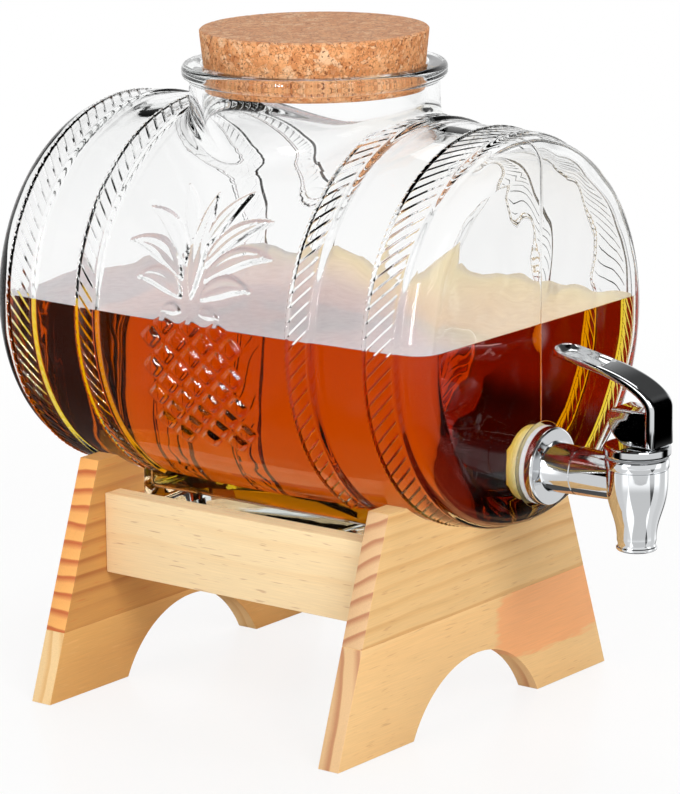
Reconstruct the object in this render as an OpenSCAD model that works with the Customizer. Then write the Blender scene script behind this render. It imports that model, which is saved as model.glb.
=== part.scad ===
// Glass barrel drink dispenser on a wooden cradle stand, with a cork stopper and a lever tap.
// Millimetres. +X runs along the barrel towards the tap and +Z is up. The origin lies on the
// table, below the middle of the whole object.

/* [Barrel] */
// Radius of the smooth barrel at its middle
belly_r = 82; // [79:0.5:86]
// Distance that the belly stands out past the shoulders
belly_swell = 4.4; // [3.6:0.1:8]
// Thickness of the glass
wall = 5; // [4:0.25:6]
// Length of the plain belly between the two inner hoops
belly_len = 94.8; // [88:0.4:110]
// Width of an inner hoop
inner_hoop_w = 13.9; // [10:0.1:18]
// Width of the plain band between two hoops, where a board holds the barrel
groove_w = 22; // [20:0.5:28]
// Width of an outer hoop
outer_hoop_w = 17.2; // [12:0.1:22]
// Height of a hoop above the smooth barrel
hoop_h = 1.2; // [0.6:0.1:2]
// Length of the sloping edge of a hoop
hoop_edge = 0.8; // [0.4:0.1:1.5]
// Radius of the rounded edge of a barrel end
end_round = 11.1; // [9:0.1:14]

/* [Neck] */
// Outer radius of the neck
neck_r = 51; // [49:0.5:53]
// Radius of the mouth
mouth_r = 45.5; // [42:0.5:47]
// Extra radius of the neck where it runs into the barrel
neck_flare = 4; // [1:0.5:7]
// Height over which the neck flares
flare_h = 20; // [12:1:24]
// Outer radius of the rim bead
rim_r = 54; // [53:0.5:57]
// Height of the rim bead
rim_h = 6; // [5:0.5:9]
// Rounding of the rim bead
rim_round = 2.2; // [1:0.1:2.4]
// Height of the rim above the belly
neck_rise = 17.5; // [12:0.5:28]

/* [Glass foot] */
// Length of the moulded foot under the barrel
foot_len = 130; // [118:1:136]
// Gap between the moulded foot and a side rail
foot_gap = 4.3; // [2:0.1:15]
// Radius of the foot's upright corners
foot_corner_r = 8; // [3:0.5:14]
// Depth of the foot below the belly
foot_drop = 6; // [3:0.5:10]
// Length of the hollow between the two ends of the foot
foot_arch_len = 80; // [40:1:90]
// Thickness of glass left above that hollow, below the belly
foot_arch_roof = 0.4; // [0.2:0.1:1]

/* [Stand] */
// Thickness of an end board
board_t = 10; // [8:0.5:11]
// Height of an end board
board_h = 97; // [92:1:110]
// Distance that a board's foot reaches out past the belly, on each side
board_foot_margin = 10.5; // [4:0.5:20]
// Distance that a board's top corner lies in from the belly, on each side
board_top_inset = 23.5; // [16:0.5:26]
// Distance from the inner hoop to an end board
board_inset = 8.7; // [4:0.1:9.5]
// Depth of the cradle in the top of an end board
cradle_depth = 14.9; // [10:0.1:17]
// Play between the glass and the cradle
cradle_gap = 0.3; // [0.2:0.05:0.6]
// Width of the arch between the feet, at the table
arch_w = 86; // [60:1:100]
// Height of the arch
arch_h = 26.4; // [18:0.2:27]
// Height of the front board's glue line above its arch
front_glue_rise = 19.6; // [5:0.1:20]
// Height of the back board's glue line above its arch
back_glue_rise = 2.1; // [1.5:0.1:20]
// Thickness of a side rail
rail_t = 10; // [9:0.5:11]
// Height of a side rail
rail_h = 34; // [28:0.5:34.5]
// Distance of a rail's outer face in from a board's top corner
rail_inset = 3.2; // [1.5:0.1:4.5]
// Depth of a rail's top below the top of the boards
rail_drop = 14.4; // [12:0.1:15]
// Diameter of a dowel
dowel_d = 6; // [4:0.5:7]
// Depth of a dowel in an end board
dowel_in_board = 6.5; // [4:0.5:7]
// Depth of a dowel in a side rail
dowel_in_rail = 16; // [10:1:24]
// Distance between the two dowels of a joint
dowel_spacing = 16; // [10:0.5:20]
// Room for glue around a dowel
dowel_gap = 0.05; // [0.02:0.01:0.1]

/* [Cork] */
// Height of the cork above the rim
cork_above = 13.8; // [8:0.2:20]
// Depth of the cork below the rim
cork_below = 10; // [6:0.5:16]
// Radius that the cork gains per millimetre of height
cork_slope = 0.1; // [0.02:0.01:0.15]
// Play between the cork and the mouth at the rim
cork_gap = 0.3; // [0.1:0.05:0.5]
// Bevel around the cork's two faces
cork_bevel = 0.7; // [0.3:0.1:1.5]

/* [Tap] */
// Distance of the tap's axis in from the barrel's shoulder
tap_edge = 25.3; // [23.6:0.1:29]
// Radius of the hole in the glass
tap_hole_r = 8.6; // [8.4:0.1:10]
// Radius of the flat pad around that hole
pad_r = 17.5; // [16:0.5:19]
// Height of that pad above the barrel end
pad_h = 0.4; // [0.2:0.1:1.5]
// Radius of the shank's thread over its crests
thread_r = 8; // [7:0.1:8.2]
// Length of thread that stands clear of the nut
thread_tail = 3; // [1:0.5:8]
// Radius of the way through the shank
inlet_r = 5.2; // [3.5:0.1:5.4]
// Play between the thread and what is screwed on it
thread_gap = 0.1; // [0.05:0.01:0.2]
// Radius of the soft washer outside the glass
outer_washer_r = 15.7; // [13:0.1:17]
// Thickness of the soft washer outside the glass
outer_washer_t = 2; // [1:0.1:4]
// Radius of the soft washer inside the glass
inner_washer_r = 15.2; // [12:0.1:16]
// Thickness of the soft washer inside the glass
inner_washer_t = 3.5; // [1.5:0.1:5]
// Room around the inner washer
washer_room = 1; // [0.5:0.1:1.5]
// Width of the lock nut over its flats
nut_flats = 26; // [20:0.5:27]
// Thickness of the lock nut
nut_t = 8; // [5:0.5:12]
// Radius of the chrome flange
flange_r = 15.7; // [13:0.1:18]
// Thickness of the chrome flange
flange_t = 4; // [2.5:0.1:6]
// Rounding of the flange's edge
flange_round = 1.2; // [0.5:0.1:1.2]
// Radius of the shank at the flange
shank_r = 10; // [9.5:0.1:11]
// Radius of the shank where it meets the tap body
shank_end_r = 8.75; // [8:0.05:9.5]
// Length of the shank from the flange to the middle of the tap body
shank_len = 39.2; // [37:0.2:50]
// Distance from the flange to the fine line around the shank
shank_line = 13.1; // [6:0.1:20]
// Depth and half width of the fine lines turned in the chrome
line_cut = 0.25; // [0.1:0.05:0.3]
// Depth of the spout's mouth below the shank's axis
spout_drop = 27.7; // [24:0.1:34]
// Outer radius of the spout's lip
lip_r = 8.1; // [7.8:0.1:9]
// Height of the spout's lip
lip_h = 1.6; // [0.8:0.1:3]
// Radius of the spout's waist
waist_r = 7.8; // [7.3:0.1:8.5]
// Height of the waist above the mouth
waist_h = 4; // [3:0.1:6]
// Radius of the tap body
body_r = 12.3; // [11.8:0.1:13]
// Height of the tap body's widest line above the shank's axis
body_full_h = 1.9; // [0:0.1:3]
// Height of the tap body above the shank's axis
body_rise = 9.7; // [9.6:0.1:14]
// Height of the band at the top of the tap body
band_h = 4.2; // [3:0.1:5]
// Radius of the spout's bore
outlet_r = 6.2; // [5:0.1:6.4]
// Length of the spout's bore below the valve seat
outlet_len = 16.7; // [15:0.1:17]
// Radius of the valve chamber
chamber_r = 8.2; // [7.6:0.1:8.6]
// Thickness of the gasket under the bonnet
gasket_t = 0.8; // [0.5:0.1:1.5]
// Radius of the bonnet
bonnet_r = 13.4; // [12.8:0.1:14.5]
// Height of the bonnet above its gasket
bonnet_h = 4.2; // [3:0.1:6]
// Rounding of the bonnet's edges
bonnet_round = 1.2; // [0.5:0.1:1.4]
// Depth of the bonnet's thread in the tap body
bonnet_thread = 4; // [3:0.1:5]

/* [Valve] */
// Radius of the valve stem
stem_r = 3; // [2.5:0.05:3.2]
// Running play around the stem
stem_gap = 0.06; // [0.03:0.01:0.1]
// Radius of the soft plug
plug_r = 7.6; // [7:0.1:7.8]
// Height of the soft plug
plug_h = 4.7; // [4:0.1:5.2]
// Gap drawn between the plug and its seat
seat_gap = 0.2; // [0.1:0.05:0.3]
// Depth of the stem in the plug
stem_grip = 3; // [2:0.1:3.5]
// Mean radius of the spring
spring_r = 5; // [4.4:0.1:5.6]
// Thickness of the spring's wire
spring_wire = 1; // [0.7:0.05:1.2]
// Turns in the spring
spring_turns = 5; // [3:1:6]
// Play at each end of the spring
spring_play = 0.25; // [0.1:0.05:0.4]
// Thickness of the seal ring around the stem
seal_w = 1.8; // [1.2:0.1:2]

/* [Lever] */
// Width of the lever
lever_w = 15; // [13:0.5:17]
// Gap between the lever's foot and the bonnet
lever_gap = 0.3; // [0.2:0.05:0.5]
// Radius of the lever's rounded heel
heel_r = 6.2; // [5.6:0.1:6.8]
// Distance from the pin to the middle of the heel
heel_offset = 6; // [5:0.1:6.4]
// Distance from the stem's axis to the pin
pin_offset = 2.5; // [2:0.1:3]
// Height of the lever's foot
foot_rise = 14.9; // [13.4:0.1:18]
// Distance from the stem's axis to the front of the lever
lever_front = 12; // [11.6:0.1:13]
// Thickness of the lever's arm
arm_t = 4; // [3:0.1:5]
// Thickness of the thumb pad
pad_t = 3; // [2.4:0.1:3.5]
// Distance from the stem's axis to the start of the thumb pad
pad_start = 12.8; // [10:0.2:16]
// Distance from the stem's axis to the tip of the thumb pad
pad_tip = 37.7; // [30:0.1:38]
// Height of the thumb pad's start above the lever's foot
pad_start_h = 30; // [27:0.2:34]
// Height of the thumb pad's tip above the lever's foot
pad_tip_h = 35; // [30:0.2:38]
// Radius of the hollow in the thumb pad
dish_r = 22; // [18:0.5:30]
// Depth of the hollow in the thumb pad
dish_depth = 1.1; // [0.5:0.1:1.4]
// Radius of the lever's pin
pin_r = 1.5; // [1.2:0.05:1.8]
// Running play around the pin
pin_gap = 0.05; // [0.03:0.01:0.1]
// Play around the pin where the lever holds it
pin_seat_gap = 0.02; // [0.01:0.01:0.03]
// Side play between the stem's head and the lever's cheeks
cheek_gap = 0.3; // [0.2:0.05:0.5]
// Radius of the eye at the head of the stem
eye_r = 5; // [4:0.1:5.2]
// Room left around the stem's head inside the lever
head_room = 0.7; // [0.5:0.1:0.9]
// Thickness left at the closed end of the pin's hole
pin_cover = 2; // [1:0.5:3]
// Angle that the lever turns when it is pressed right down
press_angle = 18; // [8:1:18]

/* [Hidden] */
$fn = 96;
// Overlap that makes a cut run cleanly through a face
over = 1;

// Sizes that follow from the belly
shoulder_r = belly_r - belly_swell;
neck_top = belly_r + neck_rise;
tap_drop = shoulder_r - tap_edge;
board_foot_w = 2 * (belly_r + board_foot_margin);
board_top_w = 2 * (belly_r - board_top_inset);
rail_spread = board_top_w - 2 * rail_inset;
foot_w = rail_spread - 2 * (rail_t + foot_gap);

// Places along the barrel, from its middle
inner_hoop_x = belly_len / 2;
groove_x = inner_hoop_x + inner_hoop_w;
outer_hoop_x = groove_x + groove_w;
shoulder_x = outer_hoop_x + outer_hoop_w;
half_len = shoulder_x + end_round;
board_x = groove_x + board_inset;
pad_x = half_len + pad_h;

// Places across the tap, from the middle of the barrel
flange_x = pad_x + outer_washer_t;
tap_x = flange_x + flange_t + shank_len;
inner_face_x = half_len - wall;
nut_x = inner_face_x - inner_washer_t - nut_t;
thread_x = nut_x - thread_tail;

// The frame stands below the middle of the whole object
barrel_x = (half_len - tap_x - max(bonnet_r, lever_front)) / 2;

// Heights above the table
function smooth_r(x) = belly_r - (belly_r - shoulder_r) * pow(x / shoulder_x, 2);
cradle_r = smooth_r(board_x) + cradle_gap;
axis_z = board_h - cradle_depth + cradle_r;
rim_z = axis_z + neck_top;
front_glue_z = arch_h + front_glue_rise;
back_glue_z = arch_h + back_glue_rise;
rail_top_z = board_h - rail_drop;
tap_z = axis_z - tap_drop;
spout_z = tap_z - spout_drop;
seat_z = spout_z + outlet_len;
body_top_z = tap_z + body_rise;
bonnet_z = body_top_z + gasket_t;
bonnet_top_z = bonnet_z + bonnet_h;
bonnet_foot_z = body_top_z - bonnet_thread;
plug_z = seat_z + seat_gap * sqrt(2);
plug_top_z = plug_z + plug_h;
lever_z = bonnet_top_z + lever_gap;
pin_z = lever_z + heel_r;
head_t = 2 * stem_r;
slot_w = head_t + 2 * cheek_gap;

// Point at share t of a curve that leaves p0 towards p1 and reaches p3 from p2
function curve(p0, p1, p2, p3, t) =
  pow(1 - t, 3) * p0 + 3 * t * pow(1 - t, 2) * p1 + 3 * t * t * (1 - t) * p2 + pow(t, 3) * p3;
// Direction of that curve at share t, as a unit vector
function heading(p0, p1, p2, p3, t) =
  let (d = pow(1 - t, 2) * (p1 - p0) + 2 * t * (1 - t) * (p2 - p1) + t * t * (p3 - p2))
  d / norm(d);
// Points along a quarter circle, from angle a0 to angle a1
function arc(centre, r, a0, a1, steps) =
  [for (i = [0:steps]) let (a = a0 + (a1 - a0) * i / steps) centre + r * [cos(a), sin(a)]];
function mirrored(points) =
  [for (i = [len(points) - 1:-1:0]) [points[i][0], -points[i][1]]];
// Points of the smooth barrel between two stations, drawn in by a depth
function stave(x0, x1, depth, steps) =
  [for (i = [0:steps]) let (x = x0 + (x1 - x0) * i / steps) [smooth_r(x) - depth, x]];
// One raised hoop with sloping edges
function hoop(x0, x1) = [
  [smooth_r(x0), x0],
  [smooth_r(x0 + hoop_edge) + hoop_h, x0 + hoop_edge],
  [smooth_r((x0 + x1) / 2) + hoop_h, (x0 + x1) / 2],
  [smooth_r(x1 - hoop_edge) + hoop_h, x1 - hoop_edge],
  [smooth_r(x1), x1]
];

// Half of the barrel's outside, from just past the middle to the end
outside_half = concat(
  stave(inner_hoop_x / 6, inner_hoop_x * 5 / 6, 0, 4),
  hoop(inner_hoop_x, groove_x),
  stave(groove_x + groove_w / 3, outer_hoop_x - groove_w / 3, 0, 1),
  hoop(outer_hoop_x, shoulder_x),
  arc([shoulder_r - end_round, shoulder_x], end_round, 15, 90, 5)
);
inside_half = concat(
  stave(shoulder_x / 10, shoulder_x, wall, 9),
  arc([shoulder_r - end_round, shoulder_x], end_round - wall, 15, 90, 5)
);

module placed() {
  translate([barrel_x, 0, 0]) children();
}

// Turns a shape drawn about Z so that its axis lies along X
module along_x(x, z) {
  translate([x, 0, z]) rotate([0, 90, 0]) children();
}

// Lays a flat drawing of width and height upright across X, with its thickness along +X
module across_x(x, t) {
  translate([x, 0, 0]) rotate([90, 0, 90]) linear_extrude(t) children();
}

// Lays a side view drawing in the X and Z plane, with its thickness split about Y = 0
module side_view(w) {
  rotate([90, 0, 0]) linear_extrude(w, center = true) children();
}

// Solid turned about the barrel axis from half of its outline
module barrel_solid(half, end_x) {
  along_x(0, axis_z)
    rotate_extrude()
      polygon(concat([[0, -end_x]], mirrored(half), half, [[0, end_x]]));
}

// Rectangle with round corners, built from plain shapes
module round_rectangle(l, w, r) {
  square([l - 2 * r, w], center = true);
  square([l, w - 2 * r], center = true);
  for (sx = [-1, 1], sy = [-1, 1])
    translate([sx * (l / 2 - r), sy * (w / 2 - r)]) circle(r);
}

// Outside of the neck, with its flare and its rim bead
module neck_solid() {
  flare_top = belly_r + rim_round;
  bead_z = neck_top - rim_h;
  translate([0, 0, axis_z])
    rotate_extrude()
      polygon(concat(
        [[0, belly_r / 2], [neck_r + neck_flare, belly_r / 2]],
        [[neck_r + neck_flare, flare_top - flare_h], [neck_r, flare_top], [neck_r, bead_z]],
        arc([rim_r - rim_round, bead_z + rim_round], rim_round, -60, 0, 4),
        arc([rim_r - rim_round, neck_top - rim_round], rim_round, 0, 90, 6),
        [[0, neck_top]]
      ));
}

module glass_foot() {
  bottom = axis_z - belly_r - foot_drop;
  hollow_h = foot_drop - foot_arch_roof;
  difference() {
    translate([0, 0, bottom])
      linear_extrude(belly_r / 2 - foot_drop) round_rectangle(foot_len, foot_w, foot_corner_r);
    translate([-foot_arch_len / 2, -foot_w, bottom - over])
      cube([foot_arch_len, 2 * foot_w, hollow_h + over]);
  }
}

module glass_barrel() {
  color("azure", 0.4) placed() difference() {
    union() {
      barrel_solid(outside_half, half_len);
      neck_solid();
      glass_foot();
      along_x(shoulder_x, tap_z) cylinder(h = pad_x - shoulder_x, r = pad_r);
    }
    barrel_solid(inside_half, inner_face_x);
    translate([0, 0, axis_z]) cylinder(h = neck_top + over, r = mouth_r);
    along_x(nut_x, tap_z) cylinder(h = inner_face_x - nut_x, r = inner_washer_r + washer_room);
    along_x(inner_face_x - over, tap_z) cylinder(h = pad_x - inner_face_x + 2 * over, r = tap_hole_r);
  }
}

module cork_stopper() {
  r_rim = mouth_r - cork_gap;
  r_top = r_rim + cork_slope * cork_above;
  r_low = r_rim - cork_slope * cork_below;
  color("peru") placed() translate([0, 0, rim_z])
    rotate_extrude()
      polygon([
        [0, -cork_below], [r_low - cork_bevel, -cork_below], [r_low, cork_bevel - cork_below],
        [r_top, cork_above - cork_bevel], [r_top - cork_bevel, cork_above], [0, cork_above]
      ]);
}

// Outline of an end board, with its arch and its cradle
module board_outline() {
  arch_r = (pow(arch_w / 2, 2) + pow(arch_h, 2)) / (2 * arch_h);
  difference() {
    polygon([
      [-board_foot_w / 2, 0], [board_foot_w / 2, 0],
      [board_top_w / 2, board_h], [-board_top_w / 2, board_h]
    ]);
    translate([0, arch_h - arch_r]) circle(arch_r);
    translate([0, axis_z]) circle(cradle_r);
  }
}

// The part of an end board between two heights
module plank(x, z0, z1) {
  across_x(x, board_t) intersection() {
    board_outline();
    translate([-board_foot_w, z0]) square([2 * board_foot_w, z1 - z0]);
  }
}

// Dowels of both rails at both ends, or the holes that they go in
module dowel_set(grow) {
  length = dowel_in_board + dowel_in_rail - 2 * dowel_gap + 2 * grow;
  rail_y = (rail_spread - rail_t) / 2;
  rail_mid_z = rail_top_z - rail_h / 2;
  for (end = [-1, 1], side = [-1, 1], row = [-1, 1])
    translate([
      end * (board_x + (dowel_in_board - dowel_in_rail) / 2),
      side * rail_y,
      rail_mid_z + row * dowel_spacing / 2
    ])
      rotate([0, 90, 0]) cylinder(h = length, r = dowel_d / 2 + grow, center = true);
}

module front_board_upper() {
  color("burlywood") placed() difference() {
    plank(board_x, front_glue_z, board_h);
    dowel_set(dowel_gap);
  }
}

module front_board_lower() {
  color("sandybrown") placed() plank(board_x, 0, front_glue_z);
}

module back_board_upper() {
  color("burlywood") placed() difference() {
    plank(-board_x - board_t, back_glue_z, board_h);
    dowel_set(dowel_gap);
  }
}

module back_board_lower() {
  color("sandybrown") placed() plank(-board_x - board_t, 0, back_glue_z);
}

// A rail between the two boards, on one side of the stand
module rail(side) {
  difference() {
    translate([-board_x, side * (rail_spread - rail_t) / 2 - rail_t / 2, rail_top_z - rail_h])
      cube([2 * board_x, rail_t, rail_h]);
    dowel_set(dowel_gap);
  }
}

module near_rail() {
  color("wheat") placed() rail(-1);
}

module far_rail() {
  color("wheat") placed() rail(1);
}

module rail_dowels() {
  color("tan") placed() dowel_set(0);
}

// Ring about the tap's shank axis
module shank_ring(x, t, r, hole_r) {
  along_x(x, tap_z) difference() {
    cylinder(h = t, r = r);
    translate([0, 0, -over]) cylinder(h = t + 2 * over, r = hole_r);
  }
}

module outer_washer() {
  color("ivory") placed() shank_ring(pad_x, outer_washer_t, outer_washer_r, thread_r + thread_gap);
}

module inner_washer() {
  color("ivory") placed()
    shank_ring(inner_face_x - inner_washer_t, inner_washer_t, inner_washer_r, thread_r + thread_gap);
}

module lock_nut() {
  color("gainsboro") placed() along_x(nut_x, tap_z) difference() {
    cylinder(h = nut_t, r = nut_flats / sqrt(3), $fn = 6);
    translate([0, 0, -over]) cylinder(h = nut_t + 2 * over, r = thread_r + thread_gap);
  }
}

// Flange, shank and thread, turned about the shank's axis
module shank_solid() {
  reach = flange_t + shank_len;
  line_r = shank_r + (shank_end_r - shank_r) * shank_line / shank_len;
  line_x = flange_t + shank_line;
  along_x(flange_x, tap_z)
    rotate_extrude()
      polygon(concat(
        [[0, thread_x - flange_x], [thread_r, thread_x - flange_x], [thread_r, 0], [flange_r, 0]],
        arc([flange_r - flange_round, flange_t - flange_round], flange_round, 0, 90, 5),
        [[shank_r, flange_t], [line_r, line_x - line_cut], [line_r - line_cut, line_x]],
        [[line_r, line_x + line_cut], [shank_end_r, reach], [0, reach]]
      ));
}

// Vase shaped tap body, turned about the stem's axis
// The waist runs up and the shoulder runs down by these shares of half the height between them
waist_ratio = 0.8;
shoulder_ratio = 1.06;
vase_steps = 8;
module vase_solid() {
  low = [waist_r, waist_h];
  full = [body_r, spout_drop + body_full_h];
  swell = (full[1] - low[1]) / 2;
  body_h = spout_drop + body_rise;
  seam_h = body_h - band_h;
  sides = [for (i = [0:vase_steps]) curve(
    low, low + [0, waist_ratio * swell], full - [0, shoulder_ratio * swell], full, i / vase_steps)];
  translate([tap_x, 0, spout_z])
    rotate_extrude()
      polygon(concat(
        [[0, 0], [lip_r - line_cut, 0], [lip_r, line_cut], [lip_r, lip_h]],
        sides,
        [[body_r, seam_h - line_cut], [body_r - line_cut, seam_h], [body_r + line_cut, seam_h + line_cut]],
        [[body_r + line_cut, body_h], [0, body_h]]
      ));
}

module tap_body() {
  color("silver") placed() difference() {
    union() {
      shank_solid();
      vase_solid();
    }
    along_x(thread_x - over, tap_z) cylinder(h = tap_x - thread_x + over, r = inlet_r);
    translate([tap_x, 0, spout_z - over]) cylinder(h = outlet_len + 2 * over, r = outlet_r);
    translate([tap_x, 0, seat_z])
      cylinder(h = chamber_r - outlet_r, r1 = outlet_r, r2 = chamber_r);
    translate([tap_x, 0, seat_z + chamber_r - outlet_r])
      cylinder(h = body_top_z - seat_z, r = chamber_r);
  }
}

module bonnet_gasket() {
  color("ivory") placed() translate([tap_x, 0, body_top_z]) difference() {
    cylinder(h = gasket_t, r = body_r);
    translate([0, 0, -over]) cylinder(h = gasket_t + 2 * over, r = chamber_r);
  }
}

// Middle height of the seal ring inside the bonnet
seal_z = (bonnet_foot_z + bonnet_top_z) / 2;
seal_r = stem_r + stem_gap + seal_w;

module tap_bonnet() {
  head = bonnet_z - bonnet_foot_z;
  color("silver") placed() translate([tap_x, 0, bonnet_foot_z]) difference() {
    rotate_extrude()
      polygon(concat(
        [[0, 0], [chamber_r - thread_gap, 0], [chamber_r - thread_gap, head]],
        arc([bonnet_r - bonnet_round, head + bonnet_round], bonnet_round, -90, 0, 5),
        arc([bonnet_r - bonnet_round, head + bonnet_h - bonnet_round], bonnet_round, 0, 90, 5),
        [[0, head + bonnet_h]]
      ));
    translate([0, 0, -over]) cylinder(h = head + bonnet_h + 2 * over, r = stem_r + stem_gap);
    translate([0, 0, seal_z - bonnet_foot_z]) cylinder(h = seal_w, r = seal_r, center = true);
  }
}

module stem_seal() {
  color("dimgray") placed() translate([tap_x, 0, seal_z]) difference() {
    cylinder(h = seal_w, r = seal_r, center = true);
    cylinder(h = seal_w + 2 * over, r = stem_r + stem_gap, center = true);
  }
}

module valve_stem() {
  rod_z = plug_top_z - stem_grip;
  neck_z = bonnet_top_z + lever_gap;
  color("whitesmoke") placed() translate([tap_x, 0, 0]) difference() {
    union() {
      translate([0, 0, rod_z]) cylinder(h = neck_z - rod_z + over, r = stem_r);
      translate([-stem_r, -head_t / 2, neck_z + over])
        cube([stem_r + pin_offset + eye_r, head_t, pin_z - neck_z - over]);
      translate([pin_offset, 0, pin_z])
        rotate([90, 0, 0]) cylinder(h = head_t, r = eye_r, center = true);
    }
    translate([pin_offset, 0, pin_z])
      rotate([90, 0, 0]) cylinder(h = head_t + 2 * over, r = pin_r + pin_gap, center = true);
  }
}

module valve_plug() {
  cone_h = plug_r - outlet_r;
  color("ivory") placed() translate([tap_x, 0, plug_z]) difference() {
    rotate_extrude()
      polygon([[0, 0], [outlet_r, 0], [plug_r, cone_h], [plug_r, plug_h], [0, plug_h]]);
    translate([0, 0, plug_h - stem_grip - dowel_gap])
      cylinder(h = stem_grip + over, r = stem_r + dowel_gap);
  }
}

// One ring of wire points about the spring's helix at share t
spring_sides = 8;
spring_steps = 14 * spring_turns;
spring_low = plug_top_z + spring_play + spring_wire / 2;
spring_high = bonnet_foot_z - spring_play - spring_wire / 2;
function spring_ring(t) =
  let (a = 360 * spring_turns * t, z = spring_low + (spring_high - spring_low) * t)
  [for (k = [0:spring_sides - 1])
    let (b = 360 * k / spring_sides, r = spring_r + spring_wire / 2 * cos(b))
    [r * cos(a), r * sin(a), z + spring_wire / 2 * sin(b)]];

module valve_spring() {
  n = spring_sides;
  points = [for (i = [0:spring_steps]) each spring_ring(i / spring_steps)];
  sides = [for (i = [0:spring_steps - 1], k = [0:n - 1])
    let (a = i * n + k, b = i * n + (k + 1) % n)
    each [[a, a + n, b + n], [a, b + n, b]]];
  first = [for (k = [1:n - 2]) [0, k, k + 1]];
  last = [for (k = [1:n - 2]) let (c = spring_steps * n) [c, c + k + 1, c + k]];
  color("lightsteelblue") placed() translate([tap_x, 0, 0])
    polyhedron(points, concat(sides, first, last));
}

// Outer line of the lever's arm, from its upright front to the thumb pad
arm_from = [lever_front, foot_rise];
arm_to = [-pad_start, pad_start_h];
arm_up = arm_from + [0, (pad_start_h - foot_rise) / 3];
arm_over = arm_to + [pad_start + lever_front * 3 / 8, (foot_rise - pad_start_h) / 3.8];
arm_steps = 10;

// Side view of the arm and the thumb pad
module arm_outline() {
  tip = [-pad_tip, pad_tip_h];
  along = (tip - arm_to) / norm(tip - arm_to);
  under = [-along[1], along[0]];
  outer = [for (i = [0:arm_steps]) curve(arm_from, arm_up, arm_over, arm_to, i / arm_steps)];
  inner = [for (i = [arm_steps:-1:0])
    let (t = i / arm_steps, d = heading(arm_from, arm_up, arm_over, arm_to, t))
    outer[i] + (arm_t + (pad_t - arm_t) * t) * [-d[1], d[0]]];
  polygon(concat(
    [[lever_front - arm_t, foot_rise - arm_t], [lever_front, foot_rise - arm_t]],
    outer,
    [tip, tip + pad_t * under],
    inner
  ));
}

// Side view of the lever's foot, with the heel that rolls on the bonnet
module lever_foot_outline() {
  heel_x = pin_offset - heel_offset;
  back = heel_x - heel_r;
  translate([heel_x, heel_r]) circle(heel_r);
  translate([heel_x, 0]) square([lever_front - heel_x, heel_r]);
  translate([back, heel_r]) square([lever_front - back, foot_rise - heel_r]);
}

// Plan of the lever, with its round tip
module lever_plan() {
  tip_r = lever_w / 2;
  translate([tip_r - pad_tip, -tip_r]) square([pad_tip + lever_front - tip_r + over, lever_w]);
  translate([tip_r - pad_tip, 0]) circle(tip_r);
}

// Shallow hollow along the top of the thumb pad
module pad_dish() {
  run = [pad_start - pad_tip, pad_tip_h - pad_start_h];
  slope = atan2(run[1], -run[0]);
  reach = sqrt(2 * dish_r * dish_depth);
  translate([-pad_start, 0, pad_start_h]) rotate([0, slope, 0])
    translate([-norm(run) + reach, 0, dish_r - dish_depth]) {
      sphere(dish_r);
      rotate([0, 90, 0]) cylinder(h = norm(run) - 2 * reach, r = dish_r);
      translate([norm(run) - 2 * reach, 0, 0]) sphere(dish_r);
    }
}

// Room for the head of the stem between the lever's two cheeks
module lever_slot() {
  low_x = -stem_r - 2 * head_room - heel_r * sin(press_angle);
  high_x = pin_offset + eye_r + head_room;
  translate([low_x, -slot_w / 2, -over])
    cube([high_x - low_x, slot_w, heel_r + eye_r + head_room + over]);
}

module tap_lever() {
  color("silver") placed() translate([tap_x, 0, lever_z]) difference() {
    intersection() {
      side_view(lever_w) {
        lever_foot_outline();
        arm_outline();
      }
      linear_extrude(2 * pad_tip_h) lever_plan();
    }
    lever_slot();
    pad_dish();
    translate([pin_offset, lever_w / 2 + over, heel_r])
      rotate([90, 0, 0]) cylinder(h = lever_w + over - pin_cover, r = pin_r + pin_seat_gap);
  }
}

module lever_pin() {
  color("gray") placed() translate([tap_x + pin_offset, lever_w / 2, pin_z])
    rotate([90, 0, 0]) cylinder(h = lever_w - pin_cover - pin_seat_gap, r = pin_r);
}

glass_barrel();
cork_stopper();
front_board_upper();
front_board_lower();
back_board_upper();
back_board_lower();
near_rail();
far_rail();
rail_dowels();
tap_body();
tap_bonnet();
bonnet_gasket();
outer_washer();
inner_washer();
lock_nut();
stem_seal();
valve_stem();
valve_plug();
valve_spring();
tap_lever();
lever_pin();
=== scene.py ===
"""Looks of a glass barrel drink dispenser with a lever tap, lying on a pine cradle stand.

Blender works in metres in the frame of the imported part: +X runs along the barrel towards the tap and
+Z is up. Sizes below are in millimetres, measured from the middle of the barrel along X and from the
table along Z unless a class says otherwise, and place() turns those into the frame.
"""
import logging
import math
from dataclasses import dataclass
from enum import Enum
from typing import Any, Optional, Sequence

import bmesh
import bpy
import numpy as np
from mathutils import Matrix, Vector, noise


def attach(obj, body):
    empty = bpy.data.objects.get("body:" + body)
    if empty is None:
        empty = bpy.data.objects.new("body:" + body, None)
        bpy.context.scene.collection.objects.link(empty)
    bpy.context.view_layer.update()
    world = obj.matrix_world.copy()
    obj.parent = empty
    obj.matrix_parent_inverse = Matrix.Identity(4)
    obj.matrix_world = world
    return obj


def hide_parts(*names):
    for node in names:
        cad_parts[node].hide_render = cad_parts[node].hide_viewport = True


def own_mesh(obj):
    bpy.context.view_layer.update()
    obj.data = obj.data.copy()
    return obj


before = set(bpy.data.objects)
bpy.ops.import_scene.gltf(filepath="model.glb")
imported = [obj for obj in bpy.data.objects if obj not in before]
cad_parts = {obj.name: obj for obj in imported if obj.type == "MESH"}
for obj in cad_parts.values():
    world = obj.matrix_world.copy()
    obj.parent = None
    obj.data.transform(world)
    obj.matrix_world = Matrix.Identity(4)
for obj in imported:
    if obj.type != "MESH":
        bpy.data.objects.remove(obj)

Piece = bpy.types.Object
Tree = bpy.types.NodeTree
Node = bpy.types.Node
Socket = bpy.types.NodeSocket
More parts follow.
